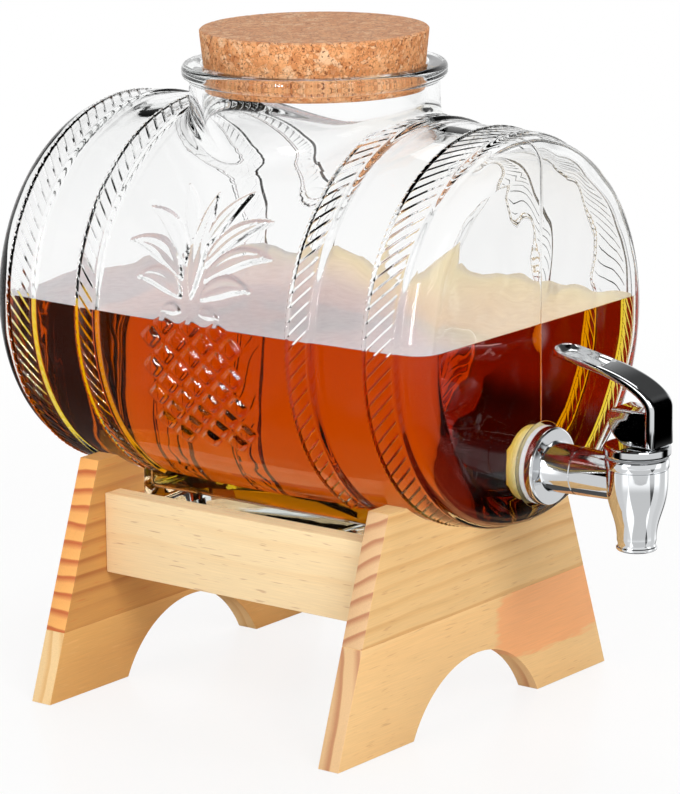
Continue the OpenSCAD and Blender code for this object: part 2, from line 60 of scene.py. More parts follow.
Pair = tuple[float, float]
Triple = tuple[float, float, float]
Rows = Sequence[tuple[Any, Any]]

MM = 0.001
# The barrel's middle along X of the frame and its axis above the table, in millimetres.
BARREL_X = -29.5
AXIS_Z = 162.2654
# The valve stem's axis along X and the height of the tap's axis.
STEM_X = 157.2
TAP_Z = 109.9654
WHITE = "#FFFFFF"
LOG = logging.getLogger("dispenser")


class Axis(Enum):
    """Direction of the frame, as of a board's grain or of a turned piece."""

    X = (1.0, 0.0, 0.0)
    Y = (0.0, 1.0, 0.0)
    Z = (0.0, 0.0, 1.0)


class Cut(Enum):
    """How a tool solid is combined with a body."""

    ADD = "UNION"
    TAKE = "DIFFERENCE"
    KEEP = "INTERSECT"


class Link(Enum):
    """Whether a lamp lights its linked piece alone or leaves it out."""

    ALONE = "INCLUDE"
    NOT = "EXCLUDE"


def to_linear(code: str) -> tuple[float, float, float, float]:
    """Turns an sRGB hex colour into linear light.

    Args:
        code: Colour such as "#E0A066".

    Returns:
        Red, green, blue and an alpha of 1.
    """
    channels = [int(code[i:i + 2], 16) / 255 for i in (1, 3, 5)]
    light = [c / 12.92 if c <= 0.04045 else ((c + 0.055) / 1.055) ** 2.4 for c in channels]
    return (light[0], light[1], light[2], 1.0)


def plug(tree: Tree, node: Node, inputs: dict[Any, Any]) -> None:
    """Sets or links the inputs of a node.

    Args:
        tree: Node tree that holds the node.
        node: Node whose inputs are set.
        inputs: Numbers, hex colours or output sockets, by the input's name or number.
    """
    for key, value in inputs.items():
        if isinstance(value, Socket):
            tree.links.new(value, node.inputs[key])
        else:
            node.inputs[key].default_value = to_linear(value) if isinstance(value, str) else value


def add_node(tree: Tree, kind: str, inputs: Optional[dict[Any, Any]] = None, out: Any = 0,
             stops: Sequence[tuple[float, str]] = (), **settings: Any) -> Socket:
    """Adds one node with its settings and links.

    Args:
        tree: Node tree that gets the node.
        kind: Blender's name of the node's type, without its first word ShaderNode.
        inputs: What plug() takes.
        out: Name or number of the wanted output.
        stops: Places and hex colours of a colour ramp.
        settings: Attributes of the node.

    Returns:
        That output of the new node.
    """
    node = tree.nodes.new("ShaderNode" + kind)
    for key, value in settings.items():
        setattr(node, key, value)
    for i, (at, code) in enumerate(stops):
        ramp = node.color_ramp.elements
        stop = ramp[i] if i < len(ramp) else ramp.new(at)
        stop.position, stop.color = at, to_linear(code)
    plug(tree, node, inputs or {})
    return node.outputs[out]


def place(points: Any) -> np.ndarray:
    """Turns millimetres from the barrel's middle into metres of the frame."""
    return (np.asarray(points, float) + (BARREL_X, 0.0, 0.0)) * MM


def circle(count: int) -> np.ndarray:
    """Angles of a number of points around a full turn."""
    return np.arange(count) * 2 * math.pi / count


def arc(x: float, y: float, r: float, start: float, stop: float, count: int) -> list[Pair]:
    """Points about (x, y), by degrees from the second direction towards the first."""
    return [(x + r * math.sin(a), y + r * math.cos(a)) for a in np.radians(np.linspace(start, stop, count))]


def cubic(points: Sequence[Any], t: float) -> np.ndarray:
    """Point at share t of a curve with four control points."""
    a, b, c, d = (np.asarray(p, float) for p in points)
    return (1 - t) ** 3 * a + 3 * t * (1 - t) ** 2 * b + 3 * t * t * (1 - t) * c + t ** 3 * d


def ease(t: Any) -> np.ndarray:
    """Smooth step from 0 at or below 0 to 1 at or above 1."""
    t = np.clip(t, 0.0, 1.0)
    return t * t * (3 - 2 * t)


@dataclass
class Ring:
    """One closed loop of points of a lofted solid.

    Attributes:
        points: Points in millimetres.
        turn: Angle of each point around the loop, in radians.
        family: Rings of one family are joined point by point, others by angle.
    """

    points: np.ndarray
    turn: np.ndarray
    family: str


def zip_loops(a: list[int], turn_a: np.ndarray, b: list[int], turn_b: np.ndarray) -> list[tuple[int, ...]]:
    """Fills the band between two closed loops with unequal numbers of points.

    Args:
        a: Vertex numbers of the first loop.
        turn_a: Angles of the first loop.
        b: Vertex numbers of the second loop.
        turn_b: Angles of the second loop.

    Returns:
        Triangles as vertex numbers.
    """
    full = 2 * math.pi
    order_a, order_b = np.argsort(turn_a % full), np.argsort(turn_b % full)
    a, b = [a[i] for i in order_a], [b[i] for i in order_b]
    ends_a = np.append((turn_a % full)[order_a][1:], (turn_a % full).min() + full)
    ends_b = np.append((turn_b % full)[order_b][1:], (turn_b % full).min() + full)
    faces, i, j = [], 0, 0
    while i < len(a) or j < len(b):
        if j == len(b) or (i < len(a) and ends_a[i] <= ends_b[j]):
            faces.append((a[i % len(a)], a[(i + 1) % len(a)], b[j % len(b)]))
            i += 1
        else:
            faces.append((a[i % len(a)], b[(j + 1) % len(b)], b[j % len(b)]))
            j += 1
    return faces


def add_object(name: str, points: np.ndarray, faces: Sequence[Sequence[int]]) -> Piece:
    """Adds a mesh object with its normals facing out.

    Args:
        name: Name of the object.
        points: Points in metres of the frame.
        faces: Faces as vertex numbers.

    Returns:
        The new object.
    """
    mesh = bpy.data.meshes.new(name)
    mesh.from_pydata(np.asarray(points).tolist(), [], faces)
    shape = bmesh.new()
    shape.from_mesh(mesh)
    bmesh.ops.recalc_face_normals(shape, faces=shape.faces)
    shape.to_mesh(mesh)
    shape.free()
    made = bpy.data.objects.new(name, mesh)
    bpy.context.scene.collection.objects.link(made)
    return made


def loft(name: str, rings: Sequence[Ring]) -> Piece:
    """Skins a row of rings into a closed solid with a fan over each end.

    Args:
        name: Name of the object.
        rings: Rings in order.

    Returns:
        The closed solid.
    """
    points, faces, loops = [], [], []
    count = 0
    for ring in rings:
        points.append(ring.points)
        loops.append(list(range(count, count + len(ring.points))))
        count += len(ring.points)
    for low, high, a, b in zip(rings, rings[1:], loops, loops[1:]):
        if low.family == high.family:
            n = len(a)
            faces += [(a[k], a[(k + 1) % n], b[(k + 1) % n], b[k]) for k in range(n)]
        else:
            faces += zip_loops(a, low.turn, b, high.turn)
    for loop, ring in ((loops[0], rings[0]), (loops[-1], rings[-1])):
        points.append(ring.points.mean(axis=0)[None])
        n = len(loop)
        faces += [(loop[k], loop[(k + 1) % n], count) for k in range(n)]
        count += 1
    return add_object(name, place(np.concatenate(points)), faces)


def turned(name: str, origin: Triple, along: Axis, profile: Rows, sides: int = 96) -> Piece:
    """Turns a closed solid about an axis.

    Args:
        name: Name of the object.
        origin: Point on the axis.
        along: Direction of the axis.
        profile: Rows of place along the axis and radius.
        sides: Points around.

    Returns:
        The closed solid.
    """
    turn = circle(sides)
    ahead = np.array(along.value)
    rim = np.cos(turn)[:, None] * np.roll(ahead, 1) + np.sin(turn)[:, None] * np.roll(ahead, 2)
    return loft(name, [Ring(np.array(origin) + t * ahead + r * rim, turn, "turned") for t, r in profile])


def prism(name: str, low: np.ndarray, high: np.ndarray) -> Piece:
    """Spans a solid between two like outlines.

    Args:
        name: Name of the object.
        low: Corners of the first outline.
        high: Corners of the second outline.

    Returns:
        The closed solid.
    """
    n = len(low)
    faces = [tuple(range(n)), tuple(range(2 * n - 1, n - 1, -1))]
    faces += [(k, k + n, (k + 1) % n + n, (k + 1) % n) for k in range(n)]
    return add_object(name, place(np.concatenate([low, high])), faces)


def block(name: str, x: Pair, y: Pair, z: Pair) -> Piece:
    """Box between two places along each direction."""
    plan = ((x[0], y[0]), (x[1], y[0]), (x[1], y[1]), (x[0], y[1]))
    return prism(name, *(np.array([(*corner, height) for corner in plan]) for height in z))


def break_edges(piece: Piece, width: float, angle: float, steps: int = 3, skip_z: float = -1.0,
                only_skipped: bool = False) -> None:
    """Rounds the sharp edges of a piece.

    Args:
        piece: Piece that is changed.
        width: Width of the rounding.
        angle: Edges that turn by more than this many degrees are sharp.
        steps: Faces across the rounding.
        skip_z: Edges that lie at this height are a group of their own, and are left out.
        only_skipped: Rounds that group alone instead.
    """
    shape = bmesh.new()
    shape.from_mesh(piece.data)
    sharp = [e for e in shape.edges if e.calc_face_angle(0.0) > math.radians(angle)
             and all(abs(v.co.z / MM - skip_z) < 0.01 for v in e.verts) == only_skipped]
    bmesh.ops.bevel(shape, geom=sharp, offset=width * MM, segments=steps, profile=0.5, affect="EDGES",
                    clamp_overlap=True)
    shape.to_mesh(piece.data)
    shape.free()


def combine(body: Piece, tool: Piece, how: Cut) -> None:
    """Combines a tool solid with a body and removes the tool.

    Args:
        body: Solid that is changed.
        tool: Solid that is added, taken away or kept in common.
        how: Which of the three.
    """
    step = body.modifiers.new("combine", "BOOLEAN")
    step.operation, step.solver, step.object = how.value, "MANIFOLD", tool
    ready = body.evaluated_get(bpy.context.evaluated_depsgraph_get())
    old, body.data = body.data, bpy.data.meshes.new_from_object(ready)
    body.modifiers.clear()
    bpy.data.meshes.remove(old)
    bpy.data.objects.remove(tool)


def smooth(piece: Piece, angle: float) -> None:
    """Shades a piece smooth, with edges sharp above an angle in degrees."""
    piece.data.shade_smooth()
    piece.data.set_sharp_from_angle(angle=math.radians(angle))


@dataclass(frozen=True)
class Finish:
    """A finish that one material gives to its pieces."""

    name: str

    def paint(self, tree: Tree) -> dict[str, Any]:
        """Draws the pattern and returns what goes into the shader's inputs."""
        raise NotImplementedError

    def dress(self, piece: Piece) -> None:
        """Puts the material on a piece, and makes it on its first use.

        Args:
            piece: Piece that gets the material.
        """
        made = bpy.data.materials.get(self.name)
        if made is None:
            made = bpy.data.materials.new(self.name)
            made.use_nodes = True
            tree = made.node_tree
            plug(tree, tree.nodes["Principled BSDF"], self.paint(tree))
        piece.data.materials.clear()
        piece.data.materials.append(made)


@dataclass(frozen=True)
class Clear(Finish):
    """What light goes through: smooth, and tinted by depth.

    Attributes:
        ior: Index of refraction.
        loss: Colour that depth turns white to, or the share that is kept of each linear colour.
        loss_per_m: How fast that goes.
        mirror: Tint of reflections, held down as a polarising filter on the lens does.
    """

    ior: float = 1.52
    loss: Any = "#3B9A85"
    loss_per_m: float = 1.8
    mirror: str = "#6C6C6C"

    def paint(self, tree: Tree) -> dict[str, Any]:
        """Sets up the clear body and its tint.

        Args:
            tree: Tree of the material.

        Returns:
            Inputs of the shader.
        """
        tint = add_node(tree, "VolumeAbsorption", {"Color": self.loss, "Density": self.loss_per_m})
        tree.links.new(tint, tree.nodes["Material Output"].inputs["Volume"])
        return {"Base Color": WHITE, "Roughness": 0.0, "IOR": self.ior, "Specular Tint": self.mirror,
                "Transmission Weight": 1.0}


@dataclass(frozen=True)
class MouldedGlass(Clear):
    """Soda-lime glass, pressed in a mould and fire polished.

    Clear and glossy, with slow waves from the mould that bend what is behind, and a faint grey green
    that only shows where one looks along the wall.
    """

    wave_mm: float = 16.0
    wave_depth_mm: float = 0.10

    def paint(self, tree: Tree) -> dict[str, Any]:
        """Adds the slow wave to the clear body.

        Args:
            tree: Tree of the material.

        Returns:
            Inputs of the shader.
        """
        spot = add_node(tree, "TexCoord", out="Object")
        wave = add_node(tree, "TexNoise", {"Vector": spot, "Scale": 1 / (self.wave_mm * MM), "Detail": 1.0})
        bump = add_node(tree, "Bump", {"Height": wave, "Strength": 0.5, "Distance": self.wave_depth_mm * MM})
        return {**super().paint(tree), "Normal": bump}


@dataclass(frozen=True)
class AmberDrink(Clear):
    """Cold tea or cider, clear.

    Blue is gone within millimetres, so thin parts are yellow and deep ones red brown.
    """

    ior: float = 1.335
    loss: Any = (0.974, 0.878, 0.08, 1.0)
    loss_per_m: float = 150.0


@dataclass(frozen=True)
class BubbleFilm(Finish):
    """Film of fine bubbles that pouring leaves on a drink: a pale veil that lets the drink show through. Its
    far side is painted a lighter cream as painted light from behind.

    Attributes:
        colour, thick: Colour of the film, and the lighter cream of painted light on its far side.
        veil: Share of the drink that it hides.
        painted_light_way: Direction in which the painted light gets stronger.
        painted_light_mm: Where that starts and ends.
        bubble_mm: Size of its clouding, coarser than the bubbles, which are too fine to show.
    """

    colour: str = "#E2DDE0"
    thick: str = "#EEE0C4"
    veil: float = 0.5
    painted_light_way: Pair = (0.58, 0.81)
    painted_light_mm: Pair = (-12.0, 18.0)
    bubble_mm: float = 2.5

    def paint(self, tree: Tree) -> dict[str, Any]:
        """Draws a veil that clouds a little, painted lighter towards its far side as painted light.

        Args:
            tree: Tree of the material.

        Returns:
            Inputs of the shader.
        """
        spot = add_node(tree, "TexCoord", out="Object")
        # Painted light: the film goes from its colour to a lighter cream towards its far side, as if lit from
        # behind.
        painted_light_way = {0: spot, 1: (*self.painted_light_way, 0.0)}
        along = add_node(tree, "VectorMath", painted_light_way, "Value", operation="DOT_PRODUCT")
        low, high = (MM * v for v in self.painted_light_mm)
        painted_far_share = add_node(tree, "MapRange", {0: along, 1: low, 2: high}, interpolation_type="SMOOTHSTEP")
        tone = add_node(tree, "Mix", {0: painted_far_share, 6: self.colour, 7: self.thick}, 2, data_type="RGBA")
        cloud = add_node(tree, "TexNoise", {
            "Vector": spot, "Scale": 1 / (self.bubble_mm * MM), "Detail": 4.0})
        light = add_node(tree, "MapRange", {0: cloud, 1: 0.25, 2: 0.75, 3: 0.9, 4: 1.1})
        mixed = add_node(tree, "VectorMath", {0: tone, "Scale": light}, operation="SCALE")
        return {"Base Color": mixed, "Alpha": self.veil, "Roughness": 0.3, "IOR": 1.33}


@dataclass(frozen=True)
class Pine(Finish):
    """Pine board, planed, sanded and clear coated.

    Pale early wood with darker late wood lines where the growth rings meet the face, and short resin
    ducts. The rings show as red brown stripes on the end grain, which soaks up the coat.

    Attributes:
        grain: Direction of the fibres.
        pith_mm: Place of the tree's middle across the grain, in the frame's X or Y and Z.
        ring_mm: Width of a year's growth.
        warp_mm: How far the rings wander.
        wander_mm, band_mm: Length and width of what bends the rings and of where their lines fade.
        fibre_mm, fibre_depth_mm: Size and depth of fibre bundles, as single fibres are too fine to show.
        duct_mm, rag_mm: Length and width of the resin ducts and of the patch's ragged edge.
        pale, line: Colours on the faces along the grain.
        end, end_line: Colours on the end grain.
        figure: How strong the lines are on the faces, from 0 to 1.
        patch_mm: Middle and half sizes of a darker patch along Y and Z, or nothing.
        patch: Colour of that patch.
        year: Tones from early to late wood.
    """

    grain: Axis = Axis.Y
    pith_mm: Pair = (0.0, 0.0)
    ring_mm: float = 4.6
    warp_mm: float = 7.0
    wander_mm: Pair = (130.0, 34.0)
    band_mm: Pair = (260.0, 13.0)
    fibre_mm: Pair = (16.0, 0.45)
    fibre_depth_mm: float = 0.12
    duct_mm: Pair = (11.0, 0.8)
    rag_mm: Pair = (14.0, 2.2)
    pale: str = "#EFC990"
    line: str = "#D9A263"
    end: str = "#E0AC7C"
    end_line: str = "#A9613D"
    figure: float = 1.0
    patch_mm: tuple[float, float, float, float] = (0.0, 0.0, 0.0, 0.0)
    patch: str = "#FCB074"
    year: tuple[tuple[float, str], ...] = (
        (0.0, "#101010"), (0.5, "#5C5C5C"), (0.84, WHITE), (0.93, "#F0F0F0"), (1.0, "#101010"))

    def along(self, length: float, width: float) -> Triple:
        """One value along the grain and another across it."""
        return (width, length, width) if self.grain is Axis.Y else (length, width, width)

    def fibres(self, tree: Tree, size_mm: Pair, detail: float) -> Socket:
        """Draws streaks that are long along the grain and narrow across it.

        Args:
            tree: Tree of the material.
            size_mm: Their length and width.
            detail: Levels of finer streaks in them.

        Returns:
            The streaks, from 0 to 1.
        """
        spot = add_node(tree, "TexCoord", out="Object")
        scale = self.along(*(1 / MM / size for size in size_mm))
        lie = add_node(tree, "Mapping", {"Vector": spot, "Scale": scale})
        return add_node(tree, "TexNoise", {"Vector": lie, "Scale": 1.0, "Detail": detail})

    def years(self, tree: Tree) -> Socket:
        """Draws the growth rings about the pith, which wander a little.

        Args:
            tree: Tree of the material.

        Returns:
            Share of late wood.
        """
        first, up = (-v for v in self.pith_mm)
        pith = (first, 0.0, up) if self.grain is Axis.Y else (0.0, first, up)
        spot = add_node(tree, "TexCoord", out="Object")
        flat = add_node(tree, "Mapping", {"Vector": spot, "Location": pith, "Scale": self.along(0.0, 1 / MM)})
        reach = add_node(tree, "VectorMath", {0: flat}, "Value", operation="LENGTH")
        wander = self.fibres(tree, self.wander_mm, 2.0)
        bent = add_node(tree, "Math", {0: wander, 1: self.warp_mm, 2: reach}, operation="MULTIPLY_ADD")
        count = add_node(tree, "Math", {0: bent, 1: self.ring_mm}, operation="DIVIDE")
        part = add_node(tree, "Math", {0: count}, operation="FRACT")
        return add_node(tree, "ValToRGB", {0: part}, stops=self.year)

    def patched(self, tree: Tree, face: Socket) -> Socket:
        """Lays the patch with its ragged edge on the face.

        Args:
            tree: Tree of the material.
            face: Colour of the face.

        Returns:
            The new colour.
        """
        y, z, half_y, half_z = self.patch_mm
        near = add_node(tree, "Mapping", {
            "Vector": add_node(tree, "TexCoord", out="Object"), "Location": (0.0, -y / half_y, -z / half_z),
            "Scale": (0.0, 1 / MM / half_y, 1 / MM / half_z)})
        square = add_node(tree, "VectorMath", {0: near, 1: near}, operation="MULTIPLY")
        far = add_node(tree, "VectorMath", {0: square}, "Value", operation="LENGTH")
        rag = self.fibres(tree, self.rag_mm, 3.0)
        ragged = add_node(tree, "Math", {0: rag, 1: 0.7, 2: far}, operation="MULTIPLY_ADD")
        inside = add_node(tree, "MapRange", {0: ragged, 1: 1.42, 2: 1.22, 3: 0.0, 4: 0.9})
        return add_node(tree, "Mix", {0: inside, 6: face, 7: self.patch}, 2, data_type="RGBA")

    def paint(self, tree: Tree) -> dict[str, Any]:
        """Draws the wood in the solid, so that face and end grain agree.

        Args:
            tree: Tree of the material.

        Returns:
            Inputs of the shader.
        """
        late = self.years(tree)
        band = self.fibres(tree, self.band_mm, 1.0)
        share = add_node(tree, "MapRange", {0: band, 1: 0.32, 2: 0.68, 3: 0.15 * self.figure, 4: self.figure})
        amount = add_node(tree, "Math", {0: late, 1: share}, operation="MULTIPLY")
        face = add_node(tree, "Mix", {0: amount, 6: self.pale, 7: self.line}, 2, data_type="RGBA")
        duct = self.fibres(tree, self.duct_mm, 1.0)
        ducts = add_node(tree, "MapRange", {0: duct, 1: 0.66, 2: 0.74, 3: 0.0, 4: 0.4})
        face = add_node(tree, "Mix", {0: ducts, 6: face, 7: self.end_line}, 2, data_type="RGBA")
        if self.patch_mm[2] > 0:
            face = self.patched(tree, face)
        stripes = add_node(tree, "Mix", {0: late, 6: self.end, 7: self.end_line}, 2, data_type="RGBA")
        faced = {0: add_node(tree, "TexCoord", out="Normal"), 1: self.grain.value}
        facing = add_node(tree, "VectorMath", faced, "Value", operation="DOT_PRODUCT")
        square = add_node(tree, "Math", {0: facing}, operation="ABSOLUTE")
        on_end = add_node(tree, "MapRange", {0: square, 1: 0.55, 2: 0.9})
        wood = add_node(tree, "Mix", {0: on_end, 6: face, 7: stripes}, 2, data_type="RGBA")
        fibre = self.fibres(tree, self.fibre_mm, 3.0)
        shade = add_node(tree, "MapRange", {0: fibre, 1: 0.25, 2: 0.75, 3: 0.93, 4: 1.05})
        tone = add_node(tree, "Mix", {0: 1.0, 6: wood, 7: shade}, 2, data_type="RGBA", blend_type="MULTIPLY")
        gloss = add_node(tree, "MapRange", {0: fibre, 1: 0.2, 2: 0.8, 3: 0.40, 4: 0.56})
        bump = add_node(tree, "Bump", {
            "Height": fibre, "Strength": 0.25, "Distance": self.fibre_depth_mm * MM})
        return {"Base Color": tone, "Roughness": gloss, "Normal": bump, "IOR": 1.5}


@dataclass(frozen=True)
class PressedCork(Finish):
    """Agglomerated cork: ground granules pressed with a binder, then sanded.

    Granules of many tans, with dark bark flecks and thin dark joints. The top is painted greyer and darker as
    painted shade.

    Attributes:
        granule_mm, chip_mm, fleck_mm: Sizes of granules, of smaller chips and of bark flecks.
        stir_mm: Size of the bends in their edges, and how far these go.
        patch_mm: Size of the patches with more chips or more granules.
        joint_depth_mm: Depth of the joints.
        tans: Colours of the granules.
        joint, bark, painted_top_shade: Colours of the joints, of the bark and of the painted shade on the
            top.
    """

    granule_mm: float = 4.2
    chip_mm: float = 1.6
    fleck_mm: float = 1.1
    stir_mm: Pair = (3.0, 2.6)
    patch_mm: float = 5.0
    joint_depth_mm: float = 0.3
    tans: tuple[tuple[float, str], ...] = (
        (0.0, "#B8662E"), (0.3, "#E2955A"), (0.65, "#F6B278"), (1.0, "#FFDCB4"))
    joint: str = "#9A5A2C"
    bark: str = "#6E3010"
    painted_top_shade: str = "#9A7E6A"

    def paint(self, tree: Tree) -> dict[str, Any]:
        """Draws granules, chips, joints and flecks in the solid.

        Args:
            tree: Tree of the material.

        Returns:
            Inputs of the shader.
        """
        spot = add_node(tree, "TexCoord", out="Object")
        bend, shift = self.stir_mm
        stir = add_node(tree, "TexNoise", {"Vector": spot, "Scale": 1 / (bend * MM), "Detail": 3.0}, 1)
        moved = add_node(tree, "VectorMath", {0: stir, 1: (shift * MM,) * 3, 2: spot},
                         operation="MULTIPLY_ADD")
        granule, chip = ({"Vector": moved, "Scale": 1 / (size * MM)}
                         for size in (self.granule_mm, self.chip_mm))
        tints = [add_node(tree, "TexVoronoi", cells, "Color") for cells in (granule, chip)]
        big, small = (add_node(tree, "ValToRGB", {0: tint}, stops=self.tans) for tint in tints)
        joints = add_node(tree, "TexVoronoi", chip, "Distance", feature="DISTANCE_TO_EDGE")
        flecks = add_node(tree, "TexNoise", {
            "Vector": spot, "Scale": 1 / (self.fleck_mm * MM), "Detail": 4.0, "Roughness": 0.6})
        patchy = add_node(tree, "TexNoise", {
            "Vector": spot, "Scale": 1 / (self.patch_mm * MM), "Detail": 2.0})
        choice = add_node(tree, "MapRange", {0: patchy, 1: 0.42, 2: 0.58, 3: 0.25, 4: 0.8})
        mixed = add_node(tree, "Mix", {0: choice, 6: big, 7: small}, 2, data_type="RGBA")
        line = add_node(tree, "MapRange", {0: joints, 1: 0.0, 2: 0.10, 3: 0.9, 4: 0.0})
        some = add_node(tree, "Math", {0: line, 1: choice}, operation="MULTIPLY")
        jointed = add_node(tree, "Mix", {0: some, 6: mixed, 7: self.joint}, 2, data_type="RGBA")
        dark = add_node(tree, "MapRange", {0: flecks, 1: 0.57, 2: 0.64, 3: 0.0, 4: 0.9})
        side = add_node(tree, "Mix", {0: dark, 6: jointed, 7: self.bark}, 2, data_type="RGBA")
        # Painted shade: faces that look up are mixed towards a darker grey brown, for how the light falls on
        # the top.
        normal = add_node(tree, "TexCoord", out="Normal")
        up = add_node(tree, "VectorMath", {0: normal, 1: Axis.Z.value}, "Value", operation="DOT_PRODUCT")
        on_top = add_node(tree, "MapRange", {0: up, 1: 0.5, 2: 0.9})
        painted_top_shade = add_node(tree, "Mix", {0: 0.45, 6: side, 7: self.painted_top_shade}, 2, data_type="RGBA")
        tone = add_node(tree, "Mix", {0: on_top, 6: side, 7: painted_top_shade}, 2, data_type="RGBA")
        rough = add_node(tree, "MapRange", {0: flecks, 3: 0.72, 4: 0.92})
        deep = add_node(tree, "Math", {0: joints, 1: flecks}, operation="SUBTRACT")
        bump = add_node(tree, "Bump", {"Height": deep, "Strength": 0.5, "Distance": self.joint_depth_mm * MM})
        return {"Base Color": tone, "Roughness": rough, "Normal": bump}


@dataclass(frozen=True)
class Plated(Finish):
    """Cast and polished metal, or drawn wire, under bright plating.

    A mirror with a slow ripple from the casting and faint wiping marks in its gloss.
    """

    colour: str = "#D2D4D6"
    gloss: float = 0.035
    smear: float = 0.05
    smear_mm: float = 5.0
    ripple_mm: float = 9.0
    ripple_depth_mm: float = 0.012

    def paint(self, tree: Tree) -> dict[str, Any]:
        """Draws the ripple and the wiping marks.

        Args:
            tree: Tree of the material.

        Returns:
            Inputs of the shader.
        """
        spot = add_node(tree, "TexCoord", out="Object")
        wiped = add_node(tree, "TexNoise", {"Vector": spot, "Scale": 1 / (self.smear_mm * MM), "Detail": 4.0})
        rough = add_node(tree, "MapRange", {
            0: wiped, 1: 0.4, 2: 0.75, 3: self.gloss, 4: self.gloss + self.smear})
        ripple = add_node(tree, "TexNoise", {
            "Vector": spot, "Scale": 1 / (self.ripple_mm * MM), "Detail": 0.0})
        bump = add_node(tree, "Bump", {
            "Height": ripple, "Strength": 0.4, "Distance": self.ripple_depth_mm * MM})
        return {"Base Color": self.colour, "Metallic": 1.0, "Roughness": rough, "Normal": bump}


@dataclass(frozen=True)
class Moulded(Finish):
    """Silicone, nylon or rubber, moulded: one colour that clouds a little, with a fine moulded skin.

    Attributes:
        colour, cloud: Its colour, and the one to which it clouds.
        gloss, ior: Roughness at its smoothest, and index of refraction.
        soft, soft_mm: Share of light that goes into it, and how far.
        cloud_mm: Size of the clouding.
        skin_mm, skin_depth_mm: Size and depth of the skin's grain, drawn coarse so that it shows.
    """

    colour: str = "#E9DFB8"
    cloud: str = "#D9CB98"
    gloss: float = 0.35
    ior: float = 1.43
    soft: float = 0.0
    soft_mm: float = 2.5
    cloud_mm: float = 6.0
    skin_mm: float = 0.5
    skin_depth_mm: float = 0.05

    def paint(self, tree: Tree) -> dict[str, Any]:
        """Draws the clouded colour and the skin.

        Args:
            tree: Tree of the material.

        Returns:
            Inputs of the shader.
        """
        spot = add_node(tree, "TexCoord", out="Object")
        cloud = add_node(tree, "TexNoise", {"Vector": spot, "Scale": 1 / (self.cloud_mm * MM), "Detail": 3.0})
        skin = add_node(tree, "TexNoise", {"Vector": spot, "Scale": 1 / (self.skin_mm * MM), "Detail": 2.0})
        share = add_node(tree, "MapRange", {0: cloud, 1: 0.35, 2: 0.7})
        tone = add_node(tree, "Mix", {0: share, 6: self.colour, 7: self.cloud}, 2, data_type="RGBA")
        rough = add_node(tree, "MapRange", {0: skin, 3: self.gloss, 4: self.gloss + 0.15})
        bump = add_node(tree, "Bump", {"Height": skin, "Strength": 0.2, "Distance": self.skin_depth_mm * MM})
        return {"Base Color": tone, "Roughness": rough, "Normal": bump, "IOR": self.ior,
                "Subsurface Weight": self.soft, "Subsurface Radius": (1.0, 0.7, 0.35),
                "Subsurface Scale": self.soft_mm * MM}


# Clear and glossy, with slow waves.
GLASS = MouldedGlass("soda_lime_glass_moulded")
# Clear amber that darkens with depth.
DRINK = AmberDrink("cold_drink_amber")
# A pale veil that lies flat on the drink.
FILM = BubbleFilm("drink_bubble_film")
# Matt tans with dark flecks.
CORK = PressedCork("cork_agglomerated_sanded")
# A bright mirror.
CHROME = Plated("zinc_chrome_plated")
# A greyer metal with a soft gloss, as drawing leaves it.
STEEL = Plated("steel_wire_drawn", colour="#B4B6BA", gloss=0.18, smear=0.15)
# Cream, and a little translucent at its edges.
SILICONE = Moulded("silicone_moulded_cream", soft=0.35)
# An even grey with a low gloss.
GREY_SILICONE = Moulded("silicone_moulded_grey", colour="#8E9092", cloud="#7E8082")
# Milky white that takes light into its edges.
CLEAR_SILICONE = Moulded("silicone_moulded_milky", colour="#E3E2E0", cloud="#D3D2D2", soft=0.5)
# Off-white and a little glossier.
NYLON = Moulded("nylon_moulded_natural", colour="#F3EBCC", cloud="#E6DCB4", gloss=0.3, ior=1.53)
# Dull black.
NITRILE = Moulded("nitrile_moulded_black", colour="#2A2A2B", cloud="#202021", gloss=0.5, ior=1.52)
# Light brown with fine rings.
BEECH = Pine("beech_turned", grain=Axis.X, pith_mm=(0.0, 20.0), ring_mm=2.4, pale="#D8B48A", line="#C79A6C",
             end="#C9A078", end_line="#A87B52")


@dataclass(frozen=True)
class Leaf:
    """One leaf of the relief, on the unrolled barrel.

    Attributes:
        foot, bend, tip: Points of its middle line, along X and up the surface.
        half: Half of its greatest width.
    """

    foot: Pair
    bend: Pair
    tip: Pair
    half: float


